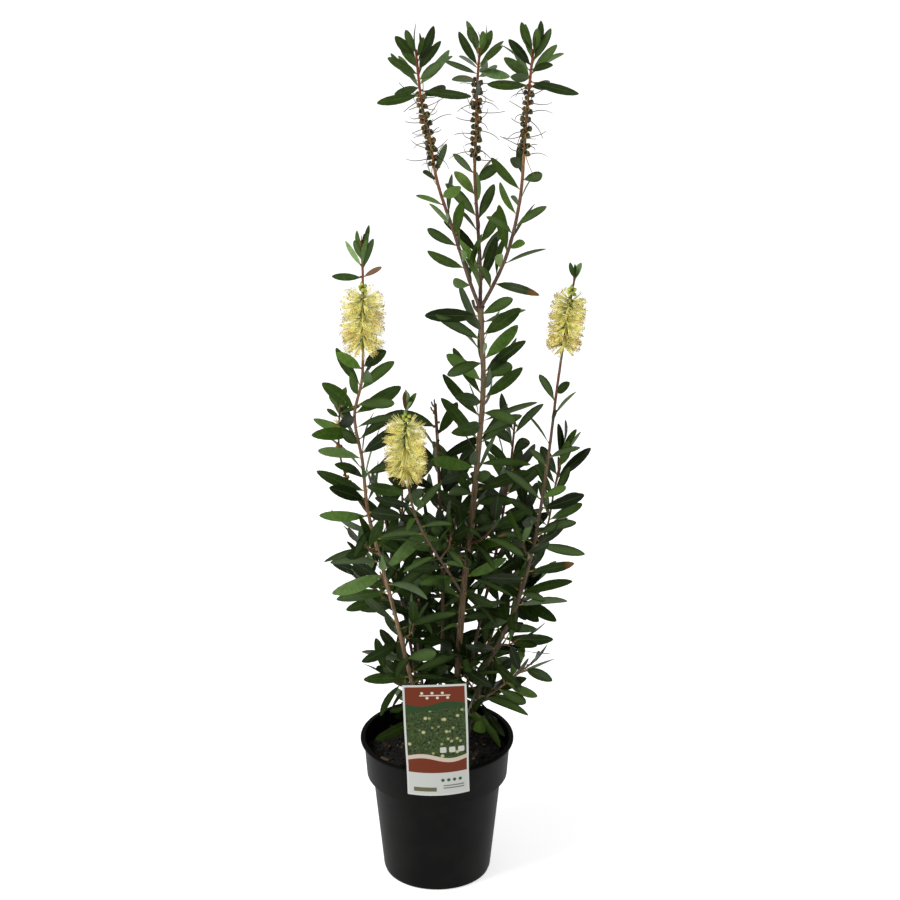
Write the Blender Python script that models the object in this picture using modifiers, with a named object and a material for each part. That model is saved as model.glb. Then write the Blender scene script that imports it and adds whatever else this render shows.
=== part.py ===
"""A bottlebrush shrub about 1.17 m tall, growing in a round nursery pot.

Several stems rise from the potting mix. The tallest is the trunk, which forks in three near the
top. Each stem is a bare limb at its foot and then a mass of foliage: the same stem going on, with
side twigs, leaves, seed cups and flower brushes fused on to it. The origin is the centre of the
pot's flat underside, the front of the plant looks along -Y, and lengths are in metres.
"""

import math
import random
from collections import namedtuple

import bmesh
import bpy
from mathutils import Matrix, Vector
from mathutils.bvhtree import BVHTree

CM = 0.01
MM = 0.001
GAP = 0.3 * MM

# The pot: a thin moulded shell with a lip, a deep collar and a tapering body.
POT_SIDES = 40
POT_HEIGHT = 192 * MM
POT_WALL = 1.6 * MM
LIP_RADIUS = 98.6 * MM
LIP_HEIGHT = 3 * MM
LIP_EDGE = 0.8 * MM
COLLAR_TOP_RADIUS = 94 * MM
COLLAR_FOOT_RADIUS = 90.3 * MM
COLLAR_FOOT = 140 * MM
BODY_TOP_RADIUS = 82.8 * MM
BODY_FOOT_RADIUS = 69 * MM
BODY_FOOT = 6 * MM
BASE_RADIUS = 65 * MM
DRAIN_HOLES = 8
DRAIN_RADIUS = 4.5 * MM
DRAIN_CIRCLE = 48 * MM

# The potting mix ends a little below the lip, with a lumpy top that is flat round each stem.
SOIL_TOP = 169 * MM
SOIL_DIP = 4 * MM
SOIL_RINGS = (0.45, 0.7, 0.92)
FOOT_ROOM = 14 * MM

# The label: a plastic card that hangs over the lip on a tongue.
CARD_WIDTH = 81 * MM
CARD_HEIGHT = 160 * MM
CARD_THICKNESS = 0.8 * MM
CARD_FOOT = 160 * MM
CARD_SHIFT = 2.5 * MM
CARD_ROLL = math.radians(2.0)
CARD_FLAT_RADIUS = 1.2
TONGUE_WIDTH = 16 * MM
TONGUE_DROP = 16 * MM

# Limbs: where each runs, in centimetres, its radius at foot and tip, and the height where its
# foliage starts.
SOIL = (SOIL_TOP + GAP) / CM
TRUNK_TOP = 79.0
FORK_FOOT = TRUNK_TOP + GAP / CM
TRUNK = [(2.2, 0.4, SOIL), (2.7, 0.5, 29), (3.35, 0.6, 39.5), (4.3, 0.9, 49), (5.2, 1.2, 59),
         (5.8, 1.3, 68), (5.6, 1.2, 75.5), (5.4, 1.2, TRUNK_TOP)]
TRUNK_SIDES = 8
TRUNK_FOOT_RADIUS = 5.1 * MM
TRUNK_TIP_RADIUS = 3.4 * MM
ROOT_FLARE = 3.2 * MM
ROOT_FLARE_HEIGHT = 14 * MM
FORK_SWELLING = 2.1 * MM
FORK_SWELLING_HEIGHT = 9 * MM
TRUNK_STEP = 45 * MM
Limb = namedtuple("Limb", "points foot_radius tip_radius bare_to")
LIMBS = {
    "fork_left": Limb([(5.14, 1.05, FORK_FOOT), (4.2, 0.5, 82.3), (2.2, -1, 89.6), (0.1, -2.4, 97.1),
                       (-0.7, -3, 102.3), (-1.7, -3.5, 107.4), (-2.4, -4.2, 114.6)],
                      2.45 * MM, 1.5 * MM, 83.5),
    "fork_middle": Limb([(5.4, 1.5, FORK_FOOT), (5.4, 2.4, 83.5), (5.05, 4, 89.2), (4.7, 5.2, 95),
                         (4.85, 6, 100), (4.95, 6.8, 105.3), (5.3, 7.4, 110.6)],
                        2.45 * MM, 1.5 * MM, 83.5),
    "fork_right": Limb([(5.66, 1.05, FORK_FOOT), (6.7, 0.8, 81.4), (8.65, 0, 86.5), (10.15, -1, 94),
                        (10.65, -1.6, 101.3), (10.9, -2, 106), (11.6, -2.4, 114)],
                       2.45 * MM, 1.5 * MM, 83.0),
    "left_stem": Limb([(-1.0, -0.6, SOIL), (-3.2, -1, 27.5), (-4.9, -1.8, 36), (-7.1, -2.8, 46.1),
                       (-8.6, -3.5, 53.3), (-9.2, -4, 60.4), (-10.1, -4.5, 66.8), (-9.15, -4.2, 71.5),
                       (-9.0, -4.1, 78), (-8.95, -4, 86), (-9.1, -4, 90)],
                      3.0 * MM, 1.4 * MM, 23.5),
    "right_stem": Limb([(3.6, -0.2, SOIL), (4.7, -0.4, 23), (6.3, -0.8, 29.3), (8.2, -1.2, 34),
                        (9.8, -1.5, 37.9), (12, -2.3, 46.8), (13.15, -2.9, 54.4), (14, -3.4, 61.7),
                        (14.8, -3.8, 69.8), (15.4, -4, 75), (16, -4, 80), (16.9, -4, 85.4)],
                       3.0 * MM, 1.3 * MM, 24.5),
    "seed_stem": Limb([(-0.2, 2.0, SOIL), (0.5, 2.5, 27), (0.75, 3, 37.5), (0.45, 3.5, 49),
                       (0.1, 4, 59), (-0.2, 4, 64.5)],
                      2.4 * MM, 1.4 * MM, 24.0),
    "inner_left_stem": Limb([(-1.6, 1.6, SOIL), (-2.1, 2.5, 28), (-3.2, 4.2, 35.5), (-3.9, 4.6, 40),
                             (-4.3, 4.8, 47), (-4.4, 5, 53)],
                            2.2 * MM, 1.3 * MM, 23.0),
    "right_middle_stem": Limb([(2.9, 2.2, SOIL), (4.1, 2.5, 26.5), (5.5, 3.4, 33.9), (7.5, 5.5, 42.6),
                               (8.8, 7, 50.3), (9.4, 7.8, 54.4), (9.9, 8.6, 60)],
                              2.4 * MM, 1.4 * MM, 24.0),
    "back_left_stem": Limb([(-1.8, 3.6, SOIL), (-3.2, 5.4, 28), (-5.4, 8.6, 39), (-7.4, 11, 49)],
                           2.3 * MM, 1.3 * MM, 22.5),
    "back_middle_stem": Limb([(1.2, 4.0, SOIL), (1.4, 6.4, 29), (2.2, 10, 41), (2.4, 12, 52)],
                             2.4 * MM, 1.3 * MM, 22.5),
    "back_right_stem": Limb([(3.9, 3.7, SOIL), (6.4, 6.2, 28), (9.4, 9, 38), (11.6, 10.8, 47)],
                            2.3 * MM, 1.3 * MM, 22.5),
    "front_branch": Limb([(2.9, 0.1, 39.3), (1.0, -2.2, 44.8), (-0.6, -4, 48.4), (-2.55, -5.8, 53.5),
                          (-3.5, -7, 58.5), (-3.8, -7.6, 64), (-3.6, -8, 69.8)],
                         1.9 * MM, 1.3 * MM, 42.0),
    "low_right_branch": Limb([(2.9, 0.05, 22.6), (5.5, -1.9, 25.4), (7.6, -2.6, 27.3), (10, -3.1, 29.6),
                              (12, -3.5, 31.6)],
                             1.8 * MM, 1.2 * MM, 24.4),
}
# These limbs leave the trunk's side at the height of their first point, and not the mix.
ON_TRUNK = ("front_branch", "low_right_branch")
RING_STEP = 32 * MM

# Side twigs: the height where each leaves its stem, and the points that it then passes.
Twig = namedtuple("Twig", "stem height points")
TWIGS = [
    Twig("trunk_foliage", 45.6, [(2.6, -1.4, 47.4), (1.4, -2.2, 49.2)]),
    Twig("trunk_foliage", 46.4, [(5.9, -1.5, 48.4), (7.4, -2.4, 51)]),
    Twig("left_stem", 52.8, [(-10.5, -4.6, 56.6), (-12, -5.5, 62), (-11.9, -6, 69.8)]),
    Twig("right_stem", 46.8, [(13.6, -1.4, 49), (14.8, 1, 54), (15.8, 2, 59.4)]),
    Twig("back_left_stem", 33.8, [(-8, 7, 37), (-9.6, 7.2, 42)]),
    Twig("back_middle_stem", 36.5, [(4.2, 12, 38.5), (5.2, 13, 43)]),
    Twig("back_middle_stem", 29.8, [(-1.5, 9.8, 32.4), (-2.4, 11.4, 37)]),
    Twig("back_right_stem", 33.0, [(11, 7, 35.4), (12.6, 6.8, 40)]),
]
TWIG_RADII = (1.6 * MM, 1.1 * MM)
TWIG_BARE = 14 * MM
TWIG_LEAF_SPACING = 11 * MM
TWIG_LEAF_LENGTHS = (48, 34)
TWIG_LEAF_WIDTH = 11
TWIG_LEAF_LEANS = (58, 20)

# What grows on each mass, by height in centimetres. Leaf sizes are in millimetres and leans in
# degrees from the stem, at the low and the high end of the run.
Leaves = namedtuple("Leaves", "low high count lengths width leans")
Cups = namedtuple("Cups", "low high count")
Brush = namedtuple("Brush", "low high width")
SLEEVES = {
    "trunk_foliage_low": Leaves(30.5, 37.6, 7, (64, 60), 13.5, (80, 65)),
    "trunk_foliage": Leaves(42.0, 77.4, 29, (60, 50), 12.5, (60, 48)),
}
GROWTH = {
    "fork_left": [Leaves(84.5, 98.2, 11, (50, 44), 11.5, (42, 50)), Cups(98.9, 108.6, 20),
                  Leaves(108.8, 114.5, 14, (52, 36), 11, (86, 14))],
    "fork_middle": [Leaves(84.5, 96, 10, (52, 46), 11.5, (42, 46)), Cups(96.6, 106.6, 20),
                    Leaves(106.8, 110.5, 12, (50, 34), 10.5, (84, 12))],
    "fork_right": [Leaves(84, 99, 12, (54, 44), 11.5, (44, 44)), Cups(100, 109.2, 19),
                   Leaves(109.4, 113.9, 13, (50, 37), 11, (84, 12))],
    "left_stem": [Leaves(24.5, 74.5, 38, (66, 48), 13, (76, 48)), Brush(75.6, 83.7, 55),
                  Leaves(84.4, 89.9, 10, (42, 30), 10, (84, 15))],
    "right_stem": [Leaves(26, 54, 23, (62, 54), 13, (76, 52)), Leaves(55, 74, 9, (46, 34), 9.5, (48, 36)),
                   Brush(75.5, 82.8, 50), Leaves(83.2, 85.3, 6, (26, 20), 7.5, (50, 15))],
    "seed_stem": [Leaves(25, 56.5, 23, (62, 50), 13, (76, 50)), Cups(57.5, 63.8, 7)],
    "inner_left_stem": [Leaves(24, 52.8, 24, (64, 48), 13, (76, 30))],
    "right_middle_stem": [Leaves(25, 58.6, 26, (64, 46), 13, (72, 38)), Cups(59.2, 59.8, 3)],
    "back_left_stem": [Leaves(23.5, 48.9, 20, (64, 46), 13, (76, 22))],
    "back_middle_stem": [Leaves(23.5, 51.9, 22, (64, 46), 13, (76, 22))],
    "back_right_stem": [Leaves(23.5, 46.9, 20, (64, 46), 13, (76, 22))],
    "front_branch": [Leaves(43, 58.4, 15, (54, 44), 12, (62, 55)), Brush(59.4, 67.8, 52),
                     Leaves(68.2, 69.7, 6, (32, 24), 9, (60, 15))],
    "low_right_branch": [Leaves(25, 31.5, 11, (52, 36), 11.5, (64, 22))],
}
GOLDEN_ANGLE = math.radians(137.5)
LEAF_THICKNESS = 0.02
LEAF_WIDEST = 0.52
LEAF_ROOT = 0.5 * MM
LEAF_CLEAR = 0.5 * MM
LEAF_ROLL = (25, 75)
LEAF_TURNS = ((0, 0), (20, 0), (-20, 0), (0, -15), (38, -8), (-38, -8), (60, 0), (-60, 0))
TIP_ROOM = 2 * MM
SLEEVE_WALL = 1.1 * MM
CUP_LENGTH = 5 * MM
CUP_RADII = (1.3 * MM, 2.6 * MM)
BRUSH_AROUND = 14
BRUSH_ALONG = 10
BRUSH_HOLLOW = 0.82
BRUSH_DOMING = 6 * MM
CROWN_LOW = (-16.6 * CM, -15.5 * CM, 19.6 * CM)
CROWN_HIGH = (19.8 * CM, 18.5 * CM, 117.4 * CM)

COLOURS = {
    "pot plastic": ((0.012, 0.012, 0.013), 0.5),
    "potting mix": ((0.035, 0.022, 0.014), 0.95),
    "label plastic": ((0.75, 0.76, 0.74), 0.35),
    "bark": ((0.19, 0.12, 0.08), 0.85),
    "foliage": ((0.045, 0.10, 0.028), 0.45),
}

parts = bpy.data.collections.new("potted_bottlebrush")
cutters = bpy.data.collections.new("cutters")


def clear_scene():
    for obj in list(bpy.data.objects):
        bpy.data.objects.remove(obj, do_unlink=True)
    for collection in (parts, cutters):
        bpy.context.scene.collection.children.link(collection)


def finish(obj, material_name):
    """Gives the object its material, with smooth shading but for its real edges."""
    material = bpy.data.materials.get(material_name)
    if material is None:
        material = bpy.data.materials.new(material_name)
        material.use_nodes = True
        shader = material.node_tree.nodes["Principled BSDF"]
        colour, roughness = COLOURS[material_name]
        shader.inputs["Base Color"].default_value = (*colour, 1)
        shader.inputs["Roughness"].default_value = roughness
        shader.inputs["Metallic"].default_value = 0
    obj.data.materials.clear()
    obj.data.materials.append(material)
    if obj.type == "MESH":
        obj.data.shade_smooth()
        obj.data.set_sharp_from_angle(angle=math.radians(35))
    return obj


def object_from(bm, name, collection):
    mesh = bpy.data.meshes.new(name)
    bm.to_mesh(mesh)
    bm.free()
    obj = bpy.data.objects.new(name, mesh)
    collection.objects.link(obj)
    return obj


def evaluated_mesh(obj):
    """The object's mesh with its modifiers or its bevel applied."""
    graph = bpy.context.evaluated_depsgraph_get()
    graph.update()
    mesh = bpy.data.meshes.new_from_object(obj.evaluated_get(graph), depsgraph=graph)
    bm = bmesh.new()
    bm.from_mesh(mesh)
    bpy.data.meshes.remove(mesh)
    return bm


def turned(name, profile, material_name):
    """A turned solid from (radius, height) pairs that end up running down the outside."""
    mesh = bpy.data.meshes.new(name)
    points = [(radius, 0, height) for radius, height in profile]
    mesh.from_pydata(points, [(i, i + 1) for i in range(len(points) - 1)], [])
    obj = bpy.data.objects.new(name, mesh)
    parts.objects.link(obj)
    screw = obj.modifiers.new("turn", "SCREW")
    screw.steps = screw.render_steps = POT_SIDES
    screw.use_merge_vertices = True
    screw.merge_threshold = 0.01 * MM
    return finish(obj, material_name)


def add_thickness(obj, thickness):
    wall = obj.modifiers.new("thickness", "SOLIDIFY")
    wall.thickness = thickness
    wall.offset = 0
    wall.use_even_offset = True


# The pot and what is in it.
def inner_wall(height):
    """The pot's inner radius at a height."""
    if height > COLLAR_FOOT + POT_WALL:
        share = (height - COLLAR_FOOT) / (POT_HEIGHT - LIP_HEIGHT - COLLAR_FOOT)
        outer = COLLAR_FOOT_RADIUS + (COLLAR_TOP_RADIUS - COLLAR_FOOT_RADIUS) * share
    else:
        share = (height - BODY_FOOT) / (COLLAR_FOOT - BODY_FOOT)
        outer = BODY_FOOT_RADIUS + (BODY_TOP_RADIUS - BODY_FOOT_RADIUS) * share
    return outer - POT_WALL


def make_pot():
    step = COLLAR_FOOT + POT_WALL
    lip_foot = POT_HEIGHT - LIP_HEIGHT
    mouth = inner_wall(lip_foot)
    pot = turned("pot", [
        (0, POT_WALL), (BASE_RADIUS - POT_WALL, POT_WALL), (inner_wall(BODY_FOOT), BODY_FOOT),
        (inner_wall(step - GAP), step), (inner_wall(step + GAP), step), (mouth, lip_foot),
        (mouth, POT_HEIGHT - LIP_EDGE), (mouth + LIP_EDGE, POT_HEIGHT),
        (LIP_RADIUS - LIP_EDGE, POT_HEIGHT), (LIP_RADIUS, POT_HEIGHT - LIP_EDGE),
        (LIP_RADIUS, lip_foot), (COLLAR_TOP_RADIUS, lip_foot - LIP_EDGE),
        (COLLAR_FOOT_RADIUS, COLLAR_FOOT), (BODY_TOP_RADIUS, COLLAR_FOOT),
        (BODY_FOOT_RADIUS, BODY_FOOT), (BASE_RADIUS + 2.4 * MM, 1.5 * MM), (BASE_RADIUS, 0), (0, 0),
    ], "pot plastic")
    drains = bmesh.new()
    for i in range(DRAIN_HOLES):
        turn = Matrix.Rotation(math.tau * (i + 0.5) / DRAIN_HOLES, 4, "Z")
        bmesh.ops.create_cone(drains, cap_ends=True, segments=8, radius1=DRAIN_RADIUS,
                              radius2=DRAIN_RADIUS, depth=5 * POT_WALL,
                              matrix=turn @ Matrix.Translation((DRAIN_CIRCLE, 0, 0)))
    cutter = object_from(drains, "drain_cutter", cutters)
    cutter.hide_render = True
    cutter.display_type = "WIRE"
    cut = pot.modifiers.new("drain holes", "BOOLEAN")
    cut.operation = "DIFFERENCE"
    cut.object = cutter
    return pot


def make_potting_mix(feet):
    """The mix fills the pot. Its top dips at random, but not where a stem stands on it."""
    step = COLLAR_FOOT + POT_WALL
    floor = POT_WALL + GAP
    edge = inner_wall(SOIL_TOP) - GAP
    profile = [(0, SOIL_TOP), *((edge * share, SOIL_TOP) for share in SOIL_RINGS), (edge, SOIL_TOP)]
    profile += [(inner_wall(step + GAP) - GAP, step + GAP), (inner_wall(step - GAP) - GAP, step + GAP),
                (inner_wall(BODY_FOOT) - GAP, BODY_FOOT), (BASE_RADIUS - POT_WALL - GAP, floor), (0, floor)]
    obj = turned("potting_mix", profile, "potting mix")
    bm = evaluated_mesh(obj)
    rng = random.Random(3)
    for vertex in bm.verts:
        dip = rng.uniform(0, SOIL_DIP)
        if vertex.co.z > SOIL_TOP - GAP and min((vertex.co.xy - foot).length for foot in feet) > FOOT_ROOM:
            vertex.co.z -= dip
    obj.modifiers.clear()
    bm.to_mesh(obj.data)
    bm.free()
    return finish(obj, "potting mix")


def make_label_card():
    """The card is bent round the lip at its foot and flat at its top. A tongue behind it passes
    over the lip and down inside the pot."""
    front = LIP_RADIUS + GAP + CARD_THICKNESS / 2
    bm = bmesh.new()
    bmesh.ops.create_grid(bm, x_segments=8, y_segments=5, size=0.5)
    for vertex in bm.verts:
        side, up = vertex.co.x * CARD_WIDTH, (vertex.co.y + 0.5) * CARD_HEIGHT
        across = side * math.cos(CARD_ROLL) - up * math.sin(CARD_ROLL) + CARD_SHIFT
        height = up * math.cos(CARD_ROLL) + side * math.sin(CARD_ROLL) + CARD_FOOT
        flatness = max(0, height - POT_HEIGHT) / CARD_HEIGHT
        radius = front + (CARD_FLAT_RADIUS - front) * flatness ** 2
        turn = across / radius
        vertex.co = (radius * math.sin(turn), radius * (1 - math.cos(turn)) - front, height)
    card = object_from(bm, "label_card", parts)
    add_thickness(card, CARD_THICKNESS)

    over = POT_HEIGHT + GAP + CARD_THICKNESS / 2
    foot = over - TONGUE_DROP
    half = TONGUE_WIDTH / 2
    inside = math.sqrt(inner_wall(foot) ** 2 - (half + CARD_SHIFT) ** 2) - GAP - CARD_THICKNESS / 2
    bm = bmesh.new()
    edges = [bm.edges.new([bm.verts.new((CARD_SHIFT + side * half, -front, over + 2 * MM))
                           for side in (-1, 1)])]
    for y, z in ((1 * MM - LIP_RADIUS, over), (-inside, over), (-inside, foot)):
        grown = bmesh.ops.extrude_edge_only(bm, edges=edges)["geom"]
        fresh = [item for item in grown if isinstance(item, bmesh.types.BMVert)]
        edges = [item for item in grown
                 if isinstance(item, bmesh.types.BMEdge) and all(end in fresh for end in item.verts)]
        for vertex in fresh:
            vertex.co.y, vertex.co.z = y, z
    tongue = object_from(bm, "tongue", cutters)
    tongue.hide_render = True
    tongue.display_type = "WIRE"
    add_thickness(tongue, CARD_THICKNESS)
    join = card.modifiers.new("tongue", "BOOLEAN")
    join.operation = "UNION"
    join.object = tongue
    return finish(card, "label plastic")


# Limbs: each follows a path of dots, each dot with the length of path up to it.
class Path:
    def __init__(self, dots, run=None):
        self.dots = dots
        self.run = run or [0.0]
        if run is None:
            for start, end in zip(dots, dots[1:]):
                self.run.append(self.run[-1] + (end - start).length)

    @property
    def length(self):
        return self.run[-1]

    def at(self, run):
        """The point and the direction at a length along the path."""
        run = min(max(run, self.run[0]), self.run[-1])
        index = max(1, next(i for i, here in enumerate(self.run) if here >= run))
        start, end = self.dots[index - 1], self.dots[index]
        share = (run - self.run[index - 1]) / (self.run[index] - self.run[index - 1])
        return start.lerp(end, share), (end - start).normalized()

    def at_height(self, height):
        """The length along the path where it first reaches a height in centimetres."""
        for i, dot in enumerate(self.dots):
            if dot.z >= height * CM:
                before = self.dots[max(0, i - 1)]
                share = (height * CM - before.z) / (dot.z - before.z) if i else 0
                return mix((self.run[max(0, i - 1)], self.run[i]), share)
        return self.length

    def thinned(self, runs):
        """The same path with straight pieces between these lengths along it."""
        return Path([self.at(run)[0] for run in runs], runs)


def smooth_path(points, upright_foot=False, upright_tip=False, step=4 * MM):
    """A centripetal Catmull-Rom curve through points in centimetres."""
    knots = [Vector(point) * CM for point in points]
    if upright_foot:
        knots.insert(1, knots[0] + Vector((0, 0, step)))
    if upright_tip:
        knots.insert(-1, knots[-1] - Vector((0, 0, step)))
    ends = [2 * knots[0] - knots[1], *knots, 2 * knots[-1] - knots[-2]]
    dots = [knots[0]]
    for before, start, end, after in zip(ends, ends[1:], ends[2:], ends[3:]):
        t1 = math.sqrt((start - before).length)
        t2 = t1 + math.sqrt((end - start).length)
        t3 = t2 + math.sqrt((after - end).length)
        count = max(1, round((end - start).length / step))
        for i in range(1, count + 1):
            t = mix((t1, t2), i / count)
            a1 = before.lerp(start, t / t1)
            a2 = start.lerp(end, i / count)
            a3 = end.lerp(after, (t - t2) / (t3 - t2))
            b1 = a1.lerp(a2, t / t2)
            b2 = a2.lerp(a3, (t - t1) / (t3 - t1))
            dots.append(b1.lerp(b2, i / count))
    return Path(dots)


def mix(pair, share):
    return pair[0] + (pair[1] - pair[0]) * share


def steps(start, end, spacing):
    """Even lengths from start to end, about spacing apart."""
    count = max(1, round((end - start) / spacing))
    return [mix((start, end), i / count) for i in range(count + 1)]


def tube(name, path, radius_at, resolution, collection):
    """A limb along a path, with 4 + 2 * resolution sides and its own radius at each ring."""
    curve = bpy.data.curves.new(name, "CURVE")
    curve.dimensions = "3D"
    curve.bevel_depth = 1
    curve.bevel_resolution = resolution
    curve.use_fill_caps = True
    spline = curve.splines.new("POLY")
    spline.points.add(len(path.dots) - 1)
    for point, dot, run in zip(spline.points, path.dots, path.run):
        point.co = (*dot, 1)
        point.radius = radius_at(run)
    obj = bpy.data.objects.new(name, curve)
    collection.objects.link(obj)
    return obj


def tube_mesh(name, path, radius_at, resolution):
    """The same limb as a closed mesh, its caps welded on, that a Boolean can join."""
    curve = tube(name, path, radius_at, resolution, cutters)
    bm = evaluated_mesh(curve)
    bmesh.ops.remove_doubles(bm, verts=bm.verts, dist=0.01 * MM)
    bpy.data.objects.remove(curve, do_unlink=True)
    return bm


def trunk_radius(path, run):
    """An even taper, with a flare at the root and a swelling under the fork."""
    taper = mix((TRUNK_FOOT_RADIUS, TRUNK_TIP_RADIUS), run / path.length)
    flare = ROOT_FLARE * math.exp(-run / ROOT_FLARE_HEIGHT)
    swelling = FORK_SWELLING * math.exp((run - path.length) / FORK_SWELLING_HEIGHT)
    return taper + flare + swelling


def trunk_rings(path):
    """The lengths along the trunk where it has a ring: closer at its foot and its fork."""
    rings = [0, 4 * MM, 10 * MM, 20 * MM, 40 * MM]
    rings += [i * TRUNK_STEP for i in range(2, int((path.length - TRUNK_STEP) / TRUNK_STEP) + 1)]
    return rings + [path.length - back for back in (24 * MM, 12 * MM, 4 * MM, 0)]


def make_trunk(path):
    trunk = tube("trunk", path, lambda run: trunk_radius(path, run), (TRUNK_SIDES - 4) // 2, parts)
    return finish(trunk, "bark")


def branch_foot(path, foot, onward, radius):
    """Where a branch's foot meets the trunk's side, clear of it by the gap, in centimetres."""
    run = path.at_height(foot[2])
    axis, _ = path.at(run)
    aim = Vector(onward) * CM - axis
    away = trunk_radius(path, run) + GAP + radius * aim.z / aim.length
    return tuple((axis + aim * Vector((1, 1, 0)) / aim.xy.length * away) / CM)


# Foliage: shapes are tested against each other before any of them is fused.
Shape = namedtuple("Shape", "owner centre reach tree")
shapes = []


def shape_of(bm, owner):
    centre = sum((vertex.co for vertex in bm.verts), Vector()) / len(bm.verts)
    reach = max((vertex.co - centre).length for vertex in bm.verts)
    return Shape(owner, centre, reach, BVHTree.FromBMesh(bm, epsilon=0.0))


def remember(bm, owner):
    """Adds a shape to the ones that later leaves keep clear of."""
    shapes.append(shape_of(bm, owner))


def is_clear(bm, parents):
    """True where the shape stays in the crown's space and crosses nothing but its parents."""
    for vertex in bm.verts:
        if not all(low < x < high for low, x, high in zip(CROWN_LOW, vertex.co, CROWN_HIGH)):
            return False
    test = shape_of(bm, None)
    for shape in shapes:
        near = (shape.centre - test.centre).length < shape.reach + test.reach
        if near and shape.owner not in parents and shape.tree.overlap(test.tree):
            return False
    return True


def face_outwards(bm):
    if bm.calc_volume(signed=True) < 0:
        bmesh.ops.reverse_faces(bm, faces=bm.faces)


def leaf(length, width, arch, grown=0.0):
    """A closed kite along +X with a keel below: three-sided at the root and at its widest, and a
    point at the tip. grown makes it that much larger all round."""
    bm = bmesh.new()
    bmesh.ops.create_cone(bm, cap_ends=True, segments=3, radius1=1, radius2=1, depth=2)
    far = next(face for face in bm.faces if face.calc_center_median().z > 0.9)
    tip = bmesh.ops.poke(bm, faces=[far])["verts"][0]
    for vertex in bm.verts:
        if vertex is tip:
            vertex.co = (length + grown, 0, 0)
            continue
        widest = vertex.co.z > 0
        angle = math.atan2(vertex.co.x, vertex.co.y)
        half = (width / 2 if widest else LEAF_ROOT) + grown
        depth = (length * LEAF_THICKNESS if widest else LEAF_ROOT) + 2 * grown
        across = half * math.sin(angle) / math.sin(math.tau / 3)
        below = depth * (math.cos(angle) + 0.5) / 1.5 - grown
        vertex.co = (length * LEAF_WIDEST if widest else 0, across, (arch if widest else 0) - below)
    face_outwards(bm)
    return bm


def outward(direction, azimuth):
    """The direction at right angles to a stem, at an angle round it from +X."""
    side = Vector((1, 0, 0)) - direction * direction.x
    return Matrix.Rotation(azimuth, 3, direction) @ side.normalized()


def leaf_place(point, direction, azimuth, lean, roll, from_axis):
    """The place of a leaf: its length leans from the stem, and its face is rolled about it."""
    out = outward(direction, azimuth)
    along = direction * math.cos(lean) + out * math.sin(lean)
    upper = Matrix.Rotation(roll, 3, along) @ (direction - along * direction.dot(along)).normalized()
    frame = Matrix((along, upper.cross(along), upper)).transposed().to_4x4()
    return Matrix.Translation(point + out * from_axis) @ frame


def grow_leaf(stand, azimuth, lean, length, width, rng, owner, parents, collection):
    """Adds one leaf to a stand of (point, direction, distance from the axis). It is turned a little
    where it would touch something, and left out where it still would."""
    point, direction, from_axis = stand
    length *= rng.uniform(0.84, 1.1)
    width *= rng.uniform(0.88, 1.1)
    lean += math.radians(rng.uniform(-9, 9))
    azimuth += math.radians(rng.uniform(-14, 14))
    roll = math.radians(rng.uniform(*LEAF_ROLL)) * rng.choice((-1, 1))
    arch = length * rng.uniform(0.02, 0.07)
    for turn, tilt in LEAF_TURNS:
        place = leaf_place(point, direction, azimuth + math.radians(turn), lean + math.radians(tilt),
                           roll, from_axis)
        test = leaf(length, width, arch, LEAF_CLEAR)
        bmesh.ops.transform(test, matrix=place, verts=test.verts)
        clear = is_clear(test, parents)
        test.free()
        if clear:
            shape = leaf(length, width, arch)
            bmesh.ops.transform(shape, matrix=place, verts=shape.verts)
            remember(shape, owner + " leaf")
            object_from(shape, "leaf", collection)
            return


def grow_run(run, path, from_axis, rng, owner, parents, collection):
    """A spiral of leaves between two heights on a stem."""
    ends = path.at_height(run.low), min(path.at_height(run.high), path.length - TIP_ROOM)
    azimuth = rng.uniform(0, math.tau)
    for i in range(run.count):
        share = i / (run.count - 1)
        here = mix(ends, share)
        grow_leaf((*path.at(here), from_axis(here)), azimuth, math.radians(mix(run.leans, share)),
                  mix(run.lengths, share) * MM, run.width * MM, rng, owner, parents, collection)
        azimuth += GOLDEN_ANGLE


def grow_cups(run, path, radius_at, rng, owner, collection):
    """Woody seed cups in a spiral round the stem, each a short five-sided cone."""
    ends = path.at_height(run.low), path.at_height(run.high)
    for i in range(run.count):
        here = mix(ends, (i + 0.5) / run.count)
        point, direction = path.at(here)
        out = outward(direction, i * GOLDEN_ANGLE + rng.uniform(-0.2, 0.2))
        aim = (out + direction * 0.25).to_track_quat("Z", "Y").to_matrix().to_4x4()
        size = rng.uniform(0.85, 1.1)
        centre = point + out * (radius_at(here) + CUP_LENGTH * size / 4)
        shape = bmesh.new()
        bmesh.ops.create_cone(shape, cap_ends=True, segments=5, radius1=CUP_RADII[0] * size,
                              radius2=CUP_RADII[1] * size, depth=CUP_LENGTH * size,
                              matrix=Matrix.Translation(centre) @ aim)
        remember(shape, owner + " cups")
        object_from(shape, "cup", collection)


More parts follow.
